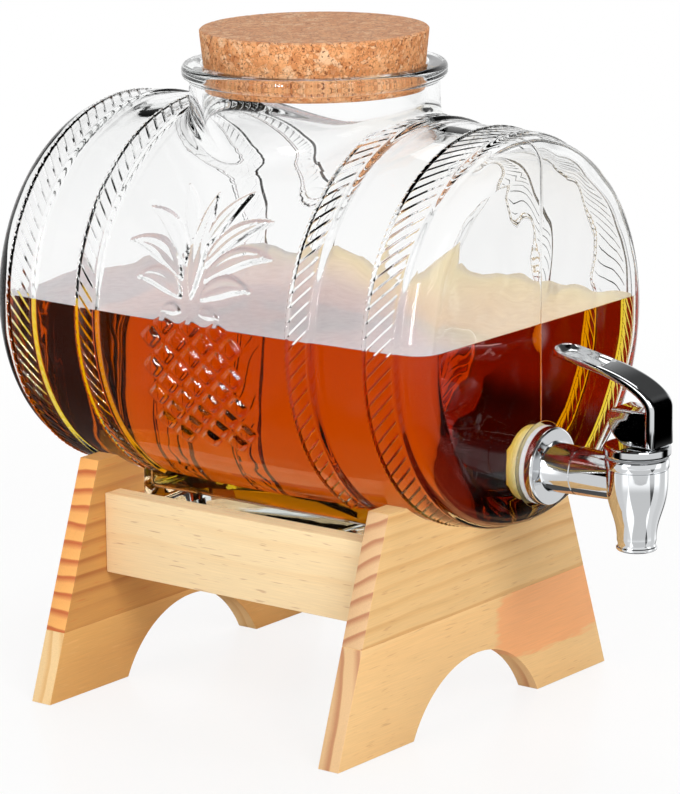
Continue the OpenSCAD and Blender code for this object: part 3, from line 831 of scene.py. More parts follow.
@dataclass
class FruitRelief:
    """Generic pineapple in low relief on the side of the barrel, alike on its left and right.

    Attributes:
        depth: Height of the relief.
        edge: Width of the slope at the edges of the leaves.
        facet: Width of the flat slope around each cell.
        body_z, body_half_w, body_half_h: Middle and half sizes of the fruit, along the surface.
        cell_w, cell_h: Width and height of a cell of the fruit's skin.
        side_leaves, middle_leaf: Leaves on the right, which the left mirrors, and the one between.
    """

    depth: float = 1.5
    edge: float = 1.9
    facet: float = 1.6
    body_z: float = -21.0
    body_half_w: float = 27.0
    body_half_h: float = 31.0
    cell_w: float = 13.5
    cell_h: float = 12.4
    side_leaves: tuple[Leaf, ...] = (
        Leaf((5.0, 15.0), (14.0, 26.0), (29.0, 21.0), 4.6),
        Leaf((5.5, 22.0), (17.0, 38.0), (36.0, 35.0), 4.4),
        Leaf((4.5, 28.0), (13.0, 46.0), (31.0, 50.0), 4.0),
        Leaf((3.0, 36.0), (7.0, 50.0), (17.0, 62.0), 3.8),
        Leaf((4.5, 9.5), (9.5, 12.0), (15.0, 8.5), 2.6),
    )
    middle_leaf: Leaf = Leaf((0.0, 15.0), (0.0, 38.0), (0.0, 60.0), 4.4)

    def leaf(self, x: np.ndarray, s: np.ndarray, leaf: Leaf) -> np.ndarray:
        """Height of one leaf, domed with a steep edge and a fine groove along its middle.

        Args:
            x: Places along the barrel.
            s: Places up the surface.
            leaf: The leaf.

        Returns:
            Heights from 0 to 1.
        """
        t = np.linspace(0.0, 1.0, 61)[:, None]
        line = ((1 - t) ** 2 * leaf.foot + 2 * t * (1 - t) * np.array(leaf.bend) + t * t * np.array(leaf.tip))
        gap = np.hypot(x[..., None] - line[:, 0], s[..., None] - line[:, 1])
        along = gap.argmin(axis=-1) / 60.0
        half = 0.5 + leaf.half * np.sin(np.pi * np.clip(along, 0.0, 1.0) ** 0.85) ** 0.8
        gap = gap.min(axis=-1)
        dome = ease((half - gap) / self.edge) * (0.78 + 0.22 * np.clip(1 - (gap / half) ** 2, 0.0, 1.0))
        return dome - 0.16 * ease((half - 1.8) / 1.0) * np.exp(-((gap / 0.9) ** 2)) * (dome > 0)

    def height(self, x: np.ndarray, s: np.ndarray) -> np.ndarray:
        """Height of the relief on the unrolled barrel.

        Args:
            x: Places along the barrel.
            s: Places up the surface from the level of the axis.

        Returns:
            Heights of the surface.
        """
        up = s - self.body_z
        a, b = x / self.cell_w + up / self.cell_h, x / self.cell_w - up / self.cell_h
        middle_x = (np.round(a) + np.round(b)) / 2 * self.cell_w
        middle_up = (np.round(a) - np.round(b)) / 2 * self.cell_h
        kept = np.hypot(middle_x / self.body_half_w, middle_up / self.body_half_h) < 1.0
        best = np.where(kept, 1.0, 0.0)
        for lean in (a, b):
            across = (0.5 - np.abs(lean - np.round(lean))) * self.cell_w * 0.68
            slope = np.clip((across - 0.6) / self.facet, 0, 1)
            best = np.minimum(best, slope * (0.8 + 0.2 * ease(across / 4.5)) * best)
        for leaf in self.side_leaves:
            best = np.maximum(best, self.leaf(np.abs(x), s, leaf))
        return self.depth * np.maximum(best, self.leaf(x, s, self.middle_leaf))


@dataclass
class GlassBarrel:
    """The moulded glass: belly, hatched hoops, ends, neck, foot and tap hole, as one closed wall.

    Heights of the neck, the foot and the tap are measured from the barrel's axis.

    Attributes:
        relief_turn, relief_half: First, last and step of the degrees drawn finely for the relief, and half
            its length.
        hoop_edge, hoop_ramp: Distance from a hoop's low edge, or its high one, and height there.
        bead, notch: Middle and half width of a hoop's bead, and how deep its rope is cut.
        hatch_low, hatch_high: Where the hatching starts from each edge, and over what length.
        rib_at: Places of the points within one rib.
        rib_cut, worn_cut, worn: Depth of the hatching in front and at the back, and where it changes.
        wave, wave_mm: Height and length of the waves of the inner wall.
        fine_wave: Share and length of finer waves in them.
        calm_neck, calm_tap: Radius about the neck and the tap from which the waves come up, and over what
            length.
        seam: Half width and height of the mould's seam.
        neck_sides: Points around the neck.
        foot_size: Length, width and corner radius of the foot.
        foot_hollow: Half length, height and corner radius of the hollow under it.
        washer_room: Place and radius of the flat inside the end, where the washer sits.
    """

    belly_r: float = 82.0
    shoulder_r: float = 77.6
    shoulder_x: float = 100.5
    end_round: float = 11.1
    wall: float = 5.0
    relief_turn: Triple = (-50.0, 54.0, 0.36)
    relief_half: float = 38.0
    hoops: tuple[Pair, ...] = ((47.4, 61.3), (83.3, 100.5))
    hoop_h: float = 1.2
    hoop_edge: tuple[Pair, ...] = (
        (0.0, 0.0), (0.25, 1.0), (0.6, 1.75), (1.1, 1.75), (1.55, 1.1), (2.0, 0.55), (2.5, 1.0), (3.0, 1.2))
    hoop_ramp: tuple[Pair, ...] = (
        (4.4, 1.2), (3.7, 1.05), (3.0, 1.3), (2.4, 1.4), (1.8, 1.15), (1.2, 0.7), (0.6, 0.25), (0.0, 0.0))
    bead: Pair = (0.85, 0.7)
    notch: float = 0.7
    hatch_low: Pair = (1.5, 1.0)
    hatch_high: Pair = (3.0, 1.4)
    ribs: int = 90
    rib_at: tuple[float, ...] = (0.0, 0.05, 0.1, 0.14, 0.32, 0.5, 0.68, 0.86, 0.9, 0.95)
    rib_cut: float = 0.6
    worn_cut: float = 0.24
    worn: Pair = (0.35, 0.5)
    wave: float = 1.1
    wave_mm: float = 27.0
    fine_wave: Pair = (0.3, 11.0)
    calm_neck: Pair = (58.0, 12.0)
    calm_tap: Pair = (18.0, 10.0)
    seam: Pair = (0.8, 0.14)
    neck_r: float = 51.0
    neck_sides: int = 192
    mouth_r: float = 45.5
    mouth_round: float = 2.0
    rim_r: float = 54.0
    rim_h: float = 6.0
    rim_round: float = 2.2
    rim_z: float = 99.5
    rim_fillet: float = 0.8
    neck_fillet: float = 8.0
    foot_size: Triple = (130.0, 82.0, 8.0)
    foot_z: float = -88.0
    foot_hollow: Triple = (40.0, 5.6, 2.5)
    foot_floor: float = 3.8
    tap_z: float = -52.3
    pad_r: float = 17.5
    pad_x: float = 112.0
    washer_room: Pair = (95.1, 16.2)
    hole_r: float = 8.6

    def smooth_r(self, x: Any) -> np.ndarray:
        """Radius of the smooth barrel at places along it."""
        return self.belly_r - (self.belly_r - self.shoulder_r) * (np.asarray(x, float) / self.shoulder_x) ** 2

    def around(self, x: Any, r: Any, turn: np.ndarray) -> np.ndarray:
        """Points at a radius about the barrel's axis; turn 0 faces -Y and a quarter turn is up."""
        x, r = np.broadcast_to(x, turn.shape), np.broadcast_to(r, turn.shape)
        return np.stack([x, -r * np.cos(turn), AXIS_Z + r * np.sin(turn)], axis=-1)

    def belly_rings(self, relief: FruitRelief) -> list[Ring]:
        """Rings of the belly, fine where the relief stands.

        Args:
            relief: The relief on its side.

        Returns:
            Rings from low to high X.
        """
        fine = np.arange(*(math.radians(v) for v in self.relief_turn))
        turn = np.concatenate([fine, np.linspace(fine[-1], fine[0] + 2 * math.pi, 88)[1:-1]])
        up = np.where(turn > math.pi, turn - 2 * math.pi, turn) * self.belly_r
        edge, half = self.hoops[0][0] - 0.4, self.relief_half
        stations = np.concatenate([np.linspace(-edge, -half, 7)[:-1], np.arange(-half, half + 0.01, 0.5),
                                   np.linspace(half, edge, 7)[1:]])
        rings = []
        for x in stations:
            lift = relief.height(np.full_like(turn, x), up)
            lift[len(fine):] = 0.0
            rings.append(Ring(self.around(x, self.smooth_r(x) + lift, turn), turn, "belly"))
        return rings

    def hoop_rings(self, x0: float, x1: float, lean: float) -> list[Ring]:
        """Rings of one hoop, whose points follow its ribs.

        Args:
            x0: Edge of the hoop nearer the middle.
            x1: Edge of the hoop nearer the end.
            lean: +1 where the ribs rise towards +X, or -1.

        Returns:
            Rings from low to high X.
        """
        low, high = min(x0, x1), max(x0, x1)
        middle = (low + high) / 2
        r0 = float(self.smooth_r(middle))
        steps = np.tile(self.rib_at, self.ribs) + np.repeat(np.arange(self.ribs), len(self.rib_at))
        part = steps % 1.0
        groove = 1 - ease(np.minimum(part, 1 - part) / self.rib_at[3])
        notch = self.notch * np.abs(np.cos(2 * math.pi * part))
        profile = [(low + d, h) for d, h in self.hoop_edge] + [(middle, self.hoop_h)]
        profile += [(high - d, h) for d, h in self.hoop_ramp]
        rings = []
        for x, h in profile:
            turn = steps * 2 * math.pi / self.ribs + lean * (x - middle) / r0
            bead = ease(1 - abs(x - low - self.bead[0]) / self.bead[1])
            hatch = ease((x - low - self.hatch_low[0]) / self.hatch_low[1])
            hatch *= ease((high - x - self.hatch_high[0]) / self.hatch_high[1])
            front = ease((np.cos(turn) + self.worn[0]) / self.worn[1])
            deep = self.worn_cut + (self.rib_cut - self.worn_cut) * front
            r = self.smooth_r(x) + h - bead * notch - hatch * deep * groove
            rings.append(Ring(self.around(x, r, turn), turn, f"hoop{x0}"))
        return rings

    def plain_rings(self, profile: Rows, family: str, side: int = 1) -> list[Ring]:
        """Rings about the axis through places and radii, or through their mirror image."""
        turn = circle(240)
        return [Ring(self.around(side * x, r, turn), turn, family) for x, r in profile[::side]]

    def outside(self, relief: FruitRelief) -> Piece:
        """Solid barrel with hoops, ribs and relief.

        Args:
            relief: The relief on its side.

        Returns:
            The solid.
        """
        (inner0, inner1), (outer0, outer1) = self.hoops
        groove = [(x, float(self.smooth_r(x))) for x in np.linspace(inner1 + 0.6, outer0 - 0.6, 5)]
        corner = self.shoulder_r - self.end_round
        end = arc(self.shoulder_x, corner, self.end_round, 0, 90, 11)[1:]
        end += [(end[-1][0], r) for r in (corner * 0.75, corner * 0.45, 10.0)]
        rings = self.plain_rings(end, "far_end", -1) + self.hoop_rings(-outer0, -outer1, -1.0)
        rings += self.plain_rings(groove, "far_groove", -1) + self.hoop_rings(-inner0, -inner1, -1.0)
        rings += self.belly_rings(relief)
        rings += self.hoop_rings(inner0, inner1, 1.0) + self.plain_rings(groove, "near_groove")
        rings += self.hoop_rings(outer0, outer1, 1.0) + self.plain_rings(end, "near_end")
        return loft("glass_barrel_moulded", rings)

    def rounded(self, bend: float, start: float, stop: float, count: int) -> list[Triple]:
        """Places, radii and tilts over the rounded edge of the +X end, by degrees."""
        spots = arc(self.shoulder_x, self.shoulder_r - self.end_round, bend, start, stop, count)
        return [(x, r, tilt) for (x, r), tilt in zip(spots, np.radians(np.linspace(start, stop, count)))]

    def wavy(self, points: np.ndarray, tilt: float) -> np.ndarray:
        """Waves the inside of the glass, but not where the neck and the washers meet it.

        Args:
            points: Points of one ring of the room.
            tilt: Direction out of the room there, in radians from the radius towards +X.

        Returns:
            The moved points.
        """
        moved = points.copy()
        share, fine_mm = self.fine_wave
        for point in moved:
            x, y, z = point[0], point[1], point[2] - AXIS_Z
            step = noise.noise(Vector(point) / self.wave_mm) + share * noise.noise(Vector(point) / fine_mm)
            calm = 1.0
            if z > 0:
                calm *= ease((math.hypot(x, y) - self.calm_neck[0]) / self.calm_neck[1])
            if x > 80:
                calm *= ease((math.hypot(y, z - self.tap_z) - self.calm_tap[0]) / self.calm_tap[1])
            step *= self.wave * calm
            r = max(math.hypot(y, z), 1e-6)
            out = step * math.cos(tilt)
            point += (step * math.sin(tilt), out * y / r, out * z / r)
        return moved

    def cavity(self, grow: float) -> Piece:
        """Room inside the barrel and its foot, grown a little for the drink.

        Args:
            grow: Growth on all sides.

        Returns:
            The room as a solid.
        """
        depth = self.wall - grow
        bend, corner = self.end_round - depth, self.shoulder_r - self.end_round
        half = [(x, float(self.smooth_r(x)) - depth, 0.0) for x in np.linspace(0, self.shoulder_x, 19)[1:]]
        half += self.rounded(bend, 0, 90, 7)[1:]
        half += [(self.shoulder_x + bend, r, math.pi / 2) for r in np.arange(corner - 5, 6, -5)]
        rows = [(-x, r, -tilt) for x, r, tilt in reversed(half)] + half
        turn = circle(160)
        made = loft("barrel_room", [Ring(self.wavy(self.around(x, r, turn), tilt), turn, "room")
                                    for x, r, tilt in rows])
        floor = self.foot_z + self.foot_hollow[1] + self.foot_floor - grow
        steps = [(depth + 2.5, floor), (depth + 1.25, floor + 0.33), (depth + 0.33, floor + 1.25),
                 (depth, floor + 2.5), (depth, floor + 20.0)]
        combine(made, self.stacked("foot_room", steps), Cut.ADD)
        return made

    def upright(self, profile: Rows, name: str) -> Piece:
        """Lofts a shape about the neck's axis.

        Args:
            profile: Rows of radius and height above the barrel's axis, each a number or one for each point.
            name: Name of the object.

        Returns:
            The solid.
        """
        turn = circle(self.neck_sides)
        rings = []
        for r, z in profile:
            r, z = np.broadcast_to(r, turn.shape), np.broadcast_to(z, turn.shape)
            points = np.stack([r * np.cos(turn), r * np.sin(turn), AXIS_Z + z], axis=-1)
            rings.append(Ring(points, turn, "upright"))
        return loft(name, rings)

    def roof(self, r: np.ndarray, depth: float) -> np.ndarray:
        """Height of a surface below the outside of the glass, on a circle about the neck."""
        turn = circle(self.neck_sides)
        return np.sqrt((self.smooth_r(r * np.cos(turn)) - depth) ** 2 - (r * np.sin(turn)) ** 2)

    def skirt(self, r: float, depth: float) -> Rows:
        """Rows that lead an upright wall into the barrel with a fillet.

        Args:
            r: Radius of the upright wall.
            depth: Depth of the met surface below the outside of the glass.

        Returns:
            Rows of radius and height, the last ones just below the met surface.
        """
        wall, out = (np.full(self.neck_sides, radius) for radius in (r, r + self.neck_fillet))
        start = np.stack([wall, self.roof(wall, depth) + self.neck_fillet])
        stop = np.stack([out, self.roof(out, depth)])
        rise = (self.roof(out + 0.05, depth) - self.roof(out - 0.05, depth)) / 0.1
        slope = np.stack([np.ones_like(rise), rise])
        slope /= np.hypot(*slope)
        reach = 0.52 * np.hypot(*(stop - start))
        curve = (start, start - np.stack([0 * reach, reach]), stop - slope * reach, stop)
        rows = [(*cubic(curve, t), t) for t in np.linspace(0, 1, 10)]
        low = self.roof(out + 1.5, depth)
        return [(rho, z - 0.03 * t) for rho, z, t in rows] + [(out + 1.5, low - 0.3), (out + 1.5, low - 3.0)]

    def neck(self) -> Piece:
        """Neck with its rim bead and its fillet into the barrel.

        Returns:
            The solid.
        """
        bend, fillet = self.rim_round, self.rim_fillet
        inner, low = self.rim_r - bend, self.rim_z - self.rim_h
        rows = [(10.0, self.rim_z), (inner - 3, self.rim_z)]
        rows += arc(inner, self.rim_z - bend, bend, 0, 90, 8) + arc(inner, low + bend, bend, 90, 150, 6)
        rows += arc(self.neck_r + fillet, low - 0.6 - fillet, fillet, 0, -90, 5)
        return self.upright(rows + self.skirt(self.neck_r, 0.0), "neck")

    def bore(self) -> Piece:
        """Room inside the neck, with a rounded mouth and a fillet into the barrel's room.

        Returns:
            The room as a solid.
        """
        wide, bend = self.mouth_r + 2.6, self.mouth_round
        rows = [(5.0, self.rim_z + 2), (wide, self.rim_z + 2), (wide, self.rim_z + 0.3)]
        rows += arc(self.mouth_r + bend, self.rim_z + 0.2 - bend, bend, -10, -90, 7)
        return self.upright(rows + self.skirt(self.mouth_r, self.wall), "neck_room")

    def stacked(self, name: str, steps: Rows) -> Piece:
        """Stacks rounded rectangles of the foot's plan into a solid.

        Args:
            name: Name of the object.
            steps: Inset and height above the barrel's axis of each rectangle.

        Returns:
            The solid.
        """
        length, width, corner = self.foot_size
        rings = []
        for inset, z in steps:
            points = []
            for sx, sy, first in ((1, 1, 90), (-1, 1, 0), (-1, -1, -90), (1, -1, -180)):
                r = max(corner - inset, 0.6)
                x, y = sx * (length / 2 - inset - r), sy * (width / 2 - inset - r)
                points += [(*at, AXIS_Z + z) for at in arc(x, y, r, first, first - 90, 9)]
            turn = np.linspace(0, 2 * math.pi, len(points), endpoint=False)
            rings.append(Ring(np.array(points), turn, name))
        return loft(name, rings)

    def mould_seam(self, low: float, high: float) -> Piece:
        """Fine ridge that the mould's joint leaves on the tap's end.

        Args:
            low: Height where it starts, or less to run over the rounded edge.
            high: Height where it stops, or more to run over the rounded edge.

        Returns:
            The ridge, sunk a little into the glass.
        """
        half, rise = self.seam
        corner = self.shoulder_r - self.end_round
        flat = np.linspace(max(low, -corner), min(high, corner), 20)
        rows = [(self.shoulder_x + self.end_round, z, math.pi / 2) for z in flat]
        bent = self.rounded(self.end_round, 90, 8, 12)[1:]
        if high > corner:
            rows += bent
        if low < -corner:
            rows = [(x, -z, math.pi - tilt) for x, z, tilt in reversed(bent)] + rows
        rings = []
        for x, z, tilt in rows:
            base = np.array([x, 0.0, AXIS_Z + z])
            out = np.array([math.sin(tilt), 0.0, math.cos(tilt)])
            foot = base - out * 0.2
            loop = [base + out * rise, foot + (0, half, 0), base - out * 1.5, foot - (0, half, 0)]
            rings.append(Ring(np.array(loop), np.arange(4.0), "seam"))
        return loft("seam", rings)

    def foot(self) -> Piece:
        """Moulded foot with rounded edges and a hollow across it.

        Returns:
            The solid.
        """
        edge = ((1.8, 0.0), (0.9, 0.24), (0.24, 0.9), (0.0, 1.8), (0.0, 26.0))
        made = self.stacked("foot", [(inset, self.foot_z + z) for inset, z in edge])
        half, rise, bend = self.foot_hollow
        profile = [(-half, -2.0), (half, -2.0), *arc(half - bend, rise - bend, bend, 90, 0, 7),
                   *arc(bend - half, rise - bend, bend, 0, -90, 7)]
        turn = np.linspace(0, 2 * math.pi, len(profile), endpoint=False)
        slab = [Ring(np.array([(x, y, AXIS_Z + self.foot_z + z) for x, z in profile]), turn, "hollow")
                for y in (-self.foot_size[1], self.foot_size[1])]
        combine(made, loft("foot_hollow", slab), Cut.TAKE)
        return made

    def disc(self, profile: Rows, name: str) -> Piece:
        """Solid turned about the tap's axis from places along X and radii."""
        return turned(name, (0.0, 0.0, AXIS_Z + self.tap_z), Axis.X, profile)

    def build(self, relief: FruitRelief) -> Piece:
        """Builds the glass and hangs it on the vessel.

        Args:
            relief: The relief on its side.

        Returns:
            The piece.
        """
        glass = self.outside(relief)
        inner_x = self.shoulder_x + self.end_round - self.wall
        room_x, room_r = self.washer_room
        pad = [(self.shoulder_x, self.pad_r), (self.pad_x - 0.3, self.pad_r),
               (self.pad_x - 0.09, self.pad_r - 0.09), (self.pad_x, self.pad_r - 0.3)]
        for tool in (self.neck(), self.foot(), self.disc(pad, "pad"),
                     self.mould_seam(self.tap_z + self.pad_r - 1, 90.0),
                     self.mould_seam(-90.0, self.tap_z - self.pad_r + 1)):
            combine(glass, tool, Cut.ADD)
        washer = self.disc([(room_x, room_r), (inner_x, room_r)], "washer_room")
        hole = self.disc([(inner_x - 1, self.hole_r), (self.pad_x + 1, self.hole_r)], "tap_hole")
        for tool in (self.cavity(0.0), self.bore(), washer, hole):
            combine(glass, tool, Cut.TAKE)
        smooth(glass, 34)
        glass.visible_shadow = False
        GLASS.dress(glass)
        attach(glass, "vessel")
        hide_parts("glass_barrel")
        return glass


@dataclass
class Drink:
    """The drink, as contents of the barrel.

    It ends a hair inside the glass, so that the two meet without air between them.

    Attributes:
        level_z: Height of its surface.
        overlap: How far it reaches into the glass.
        film: Heights of the film's faces above the surface.
        slab_x, slab_y: Ends of a slab wider than the barrel, which cuts the room at the level.
    """

    level_z: float = 166.0
    overlap: float = 0.15
    film: Pair = (0.05, 0.15)
    slab_x: Pair = (-150.0, 150.0)
    slab_y: Pair = (-120.0, 120.0)

    def build(self, barrel: GlassBarrel) -> list[Piece]:
        """Fills the barrel's room up to the level and lays the film on it.

        Args:
            barrel: The glass.

        Returns:
            The drink and its film.
        """
        drink = barrel.cavity(self.overlap)
        drink.name = "drink"
        room_x, room_r = barrel.washer_room
        inner_x = barrel.shoulder_x + barrel.end_round - barrel.wall + self.overlap
        r = room_r + self.overlap
        combine(drink, barrel.disc([(room_x, r), (inner_x, r)], "fill"), Cut.ADD)
        combine(drink, block("below", self.slab_x, self.slab_y, (40.0, self.level_z)), Cut.KEEP)
        smooth(drink, 34)
        film = barrel.cavity(-self.overlap)
        film.name = "drink_film"
        low, high = (self.level_z + step for step in self.film)
        combine(film, block("level", self.slab_x, self.slab_y, (low, high)), Cut.KEEP)
        for piece, finish in ((drink, DRINK), (film, FILM)):
            finish.dress(piece)
            piece.visible_shadow = False
            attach(piece, "vessel")
        return [drink, film]


@dataclass
class CorkStopper:
    """Tapered stopper of pressed cork with crumbled pits.

    Attributes:
        low_z, top_z, low_r, top_r: Heights and radii of its ends.
        bevel: Width of its broken edges.
        pit, granule, hole: Depth of the pits, and sizes of the granules and of the holes between them.
    """

    low_z: float = 251.7654
    top_z: float = 275.5654
    low_r: float = 44.2
    top_r: float = 46.58
    bevel: float = 0.7
    pit: float = 0.3
    granule: float = 2.6
    hole: float = 1.7

    def sunk(self, spot: np.ndarray) -> float:
        """Depth of the joints and pits at a place.

        Args:
            spot: The place.

        Returns:
            The depth.
        """
        near = noise.voronoi(Vector(spot) / self.granule)[0][0]
        hole = max(0.0, noise.noise(Vector(spot) / self.hole) - 0.15)
        return self.pit * (0.35 * max(0.0, near - 0.35) + hole)

    def build(self) -> Piece:
        """Builds the stopper and hangs it on its body.

        Returns:
            The piece.
        """
        rise, grow = self.top_z - self.low_z - 2 * self.bevel, self.top_r - self.low_r
        rows = [(r, self.low_z) for r in np.linspace(4, self.low_r - self.bevel, 16)]
        rows += [(self.low_r + grow * t, self.low_z + self.bevel + rise * t) for t in np.linspace(0, 1, 30)]
        rows += [(r, self.top_z) for r in np.linspace(self.top_r - self.bevel, 4, 40)]
        turn = circle(260)
        rings = []
        for r, z in rows:
            spots = np.stack([r * np.cos(turn), r * np.sin(turn), np.full_like(turn, z)], axis=-1)
            sunk = np.array([self.sunk(spot) for spot in spots])
            if z == self.top_z:
                spots[:, 2] -= sunk
            elif z != self.low_z:
                spots[:, :2] *= (1 - sunk / max(r, 8.0))[:, None]
            rings.append(Ring(spots, turn, "cork"))
        cork = loft("cork_stopper_pressed", rings)
        smooth(cork, 40)
        CORK.dress(cork)
        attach(cork, "cork")
        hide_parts("cork_stopper")
        return cork


@dataclass
class Stand:
    """Pine stand: two end boards of two glued planks each, and two rails.

    Attributes:
        inner_x, board_t, board_h: Place of the boards' inner faces, and their thickness and height.
        foot_half, top_half: Half widths of a board at its foot and its top.
        arch_half, arch_h: Half width and height of the arch between its feet.
        cradle_r: Radius of the cradle about the barrel's axis.
        front_glue, back_glue: Heights of the glue lines.
        rail_y, rail_z: Faces of a rail, from the middle and from the table.
        arris, glue_arris: Rounding of the edges, and of those at the glue line.
    """

    inner_x: float = 70.0
    board_t: float = 10.0
    board_h: float = 97.0
    foot_half: float = 92.5
    top_half: float = 58.5
    arch_half: float = 43.0
    arch_h: float = 26.4
    cradle_r: float = 80.165
    front_glue: float = 46.0
    back_glue: float = 28.5
    rail_y: Pair = (45.3, 55.3)
    rail_z: Pair = (48.6, 82.6)
    arris: float = 0.6
    glue_arris: float = 0.12

    def half_width(self, z: float) -> float:
        """Half width of a board at a height."""
        return self.foot_half + (self.top_half - self.foot_half) * z / self.board_h

    def upper(self, glue: float) -> list[Pair]:
        """Outline of an upper plank, with the cradle in its top.

        Args:
            glue: Height of the glue line.

        Returns:
            Corners along Y and Z.
        """
        chord = math.sqrt(self.cradle_r ** 2 - (AXIS_Z - self.board_h) ** 2)
        reach, wide = math.degrees(math.asin(chord / self.cradle_r)), self.half_width(glue)
        cradle = arc(0.0, AXIS_Z, self.cradle_r, 180 - reach, 180 + reach, 41)
        top = [(self.top_half, self.board_h), *cradle, (-self.top_half, self.board_h)]
        return [(-wide, glue), (wide, glue), *top]

    def lower(self, glue: float) -> list[Pair]:
        """Outline of a lower plank, with the arch between its feet.

        Args:
            glue: Height of the glue line.

        Returns:
            Corners along Y and Z.
        """
        r = (self.arch_half ** 2 + self.arch_h ** 2) / (2 * self.arch_h)
        reach, wide = math.degrees(math.asin(self.arch_half / r)), self.half_width(glue)
        arch = arc(0.0, self.arch_h - r, r, -reach, reach, 41)
        return [(-self.foot_half, 0.0), *arch, (self.foot_half, 0.0), (wide, glue), (-wide, glue)]

    def rail(self, side: int) -> list[Pair]:
        """Outline of the rail on one side."""
        (y0, y1), (z0, z1) = self.rail_y, self.rail_z
        return [(side * y0, z0), (side * y1, z0), (side * y1, z1), (side * y0, z1)]

    def board(self, name: str, outline: Rows, span: Pair, glue: float) -> Piece:
        """Spans an outline of Y and Z along X and breaks its edges, the ones at the glue line by a hair.

        Args:
            name: Name of the piece.
            outline: Corners in order.
            span: Ends along X.
            glue: Height of the glue line, or a height that no corner has.

        Returns:
            The piece.
        """
        made = prism(name, *(np.array([(x, y, z) for y, z in outline]) for x in span))
        break_edges(made, self.glue_arris, 25, 1, glue, True)
        break_edges(made, self.arris, 25, 3, glue)
        smooth(made, 22)
        return made

    def build(self) -> list[Piece]:
        """Builds the planks and rails and hangs them on the stand.

        Returns:
            The pieces.
        """
        far = self.inner_x + self.board_t
        front, back, between = (self.inner_x, far), (-far, -self.inner_x), (-self.inner_x, self.inner_x)
        rows = (
            ("front_board_upper", self.upper(self.front_glue), front, self.front_glue, "pine_upper",
             Pine("pine_planed_front_upper", pith_mm=(130.0, -75.0), ring_mm=6.2, pale="#F0C586",
                  line="#D89A56", end="#EAC08E", end_line="#C4825A", figure=0.8)),
            ("front_board_lower", self.lower(self.front_glue), front, self.front_glue, "pine_lower",
             Pine("pine_planed_front_lower", pith_mm=(-60.0, 8.0), ring_mm=8.5, warp_mm=6.0, figure=0.3,
                  pale="#F8CB8C", line="#EEB672", end="#EBC28E", end_line="#C98C62",
                  patch_mm=(54.0, 32.0, 40.0, 15.5))),
            # The back boards' face colours, pale and line, are darker and more orange than the front's:
            # painted shade for the amber shadow of the barrel and the drink.
            ("back_board_upper", self.upper(self.back_glue), back, self.back_glue, "pine_upper",
             Pine("pine_planed_back_upper", pith_mm=(-95.0, -120.0), ring_mm=7.0, pale="#D09650",
                  line="#B06C36", end="#FFB866", end_line="#CC6834")),
            ("back_board_lower", self.lower(self.back_glue), back, self.back_glue, "pine_lower",
             Pine("pine_planed_back_lower", pith_mm=(-190.0, 10.0), ring_mm=6.0, figure=0.4, pale="#DDA862",
                  line="#CB9050", end="#F6D29A", end_line="#E8B878")),
            ("near_rail", self.rail(-1), between, -1.0, "pine_rail",
             Pine("pine_planed_near_rail", grain=Axis.X, pith_mm=(-95.0, 40.0), ring_mm=6.5, warp_mm=9.0,
                  figure=0.45, pale="#FCE0B0", line="#F2C88C")),
            ("far_rail", self.rail(1), between, -1.0, "pine_rail",
             Pine("pine_planed_far_rail", grain=Axis.X, pith_mm=(105.0, 60.0), ring_mm=6.5, warp_mm=9.0,
                  figure=0.45, pale="#FAE3BA", line="#F0CA92")),
        )
        made = []
        for node, outline, span, glue, slot, finish in rows:
            piece = self.board(node + "_planed", outline, span, glue)
            finish.dress(piece)
            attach(piece, "stand")
            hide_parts(node)
            made.append(piece)
        return made


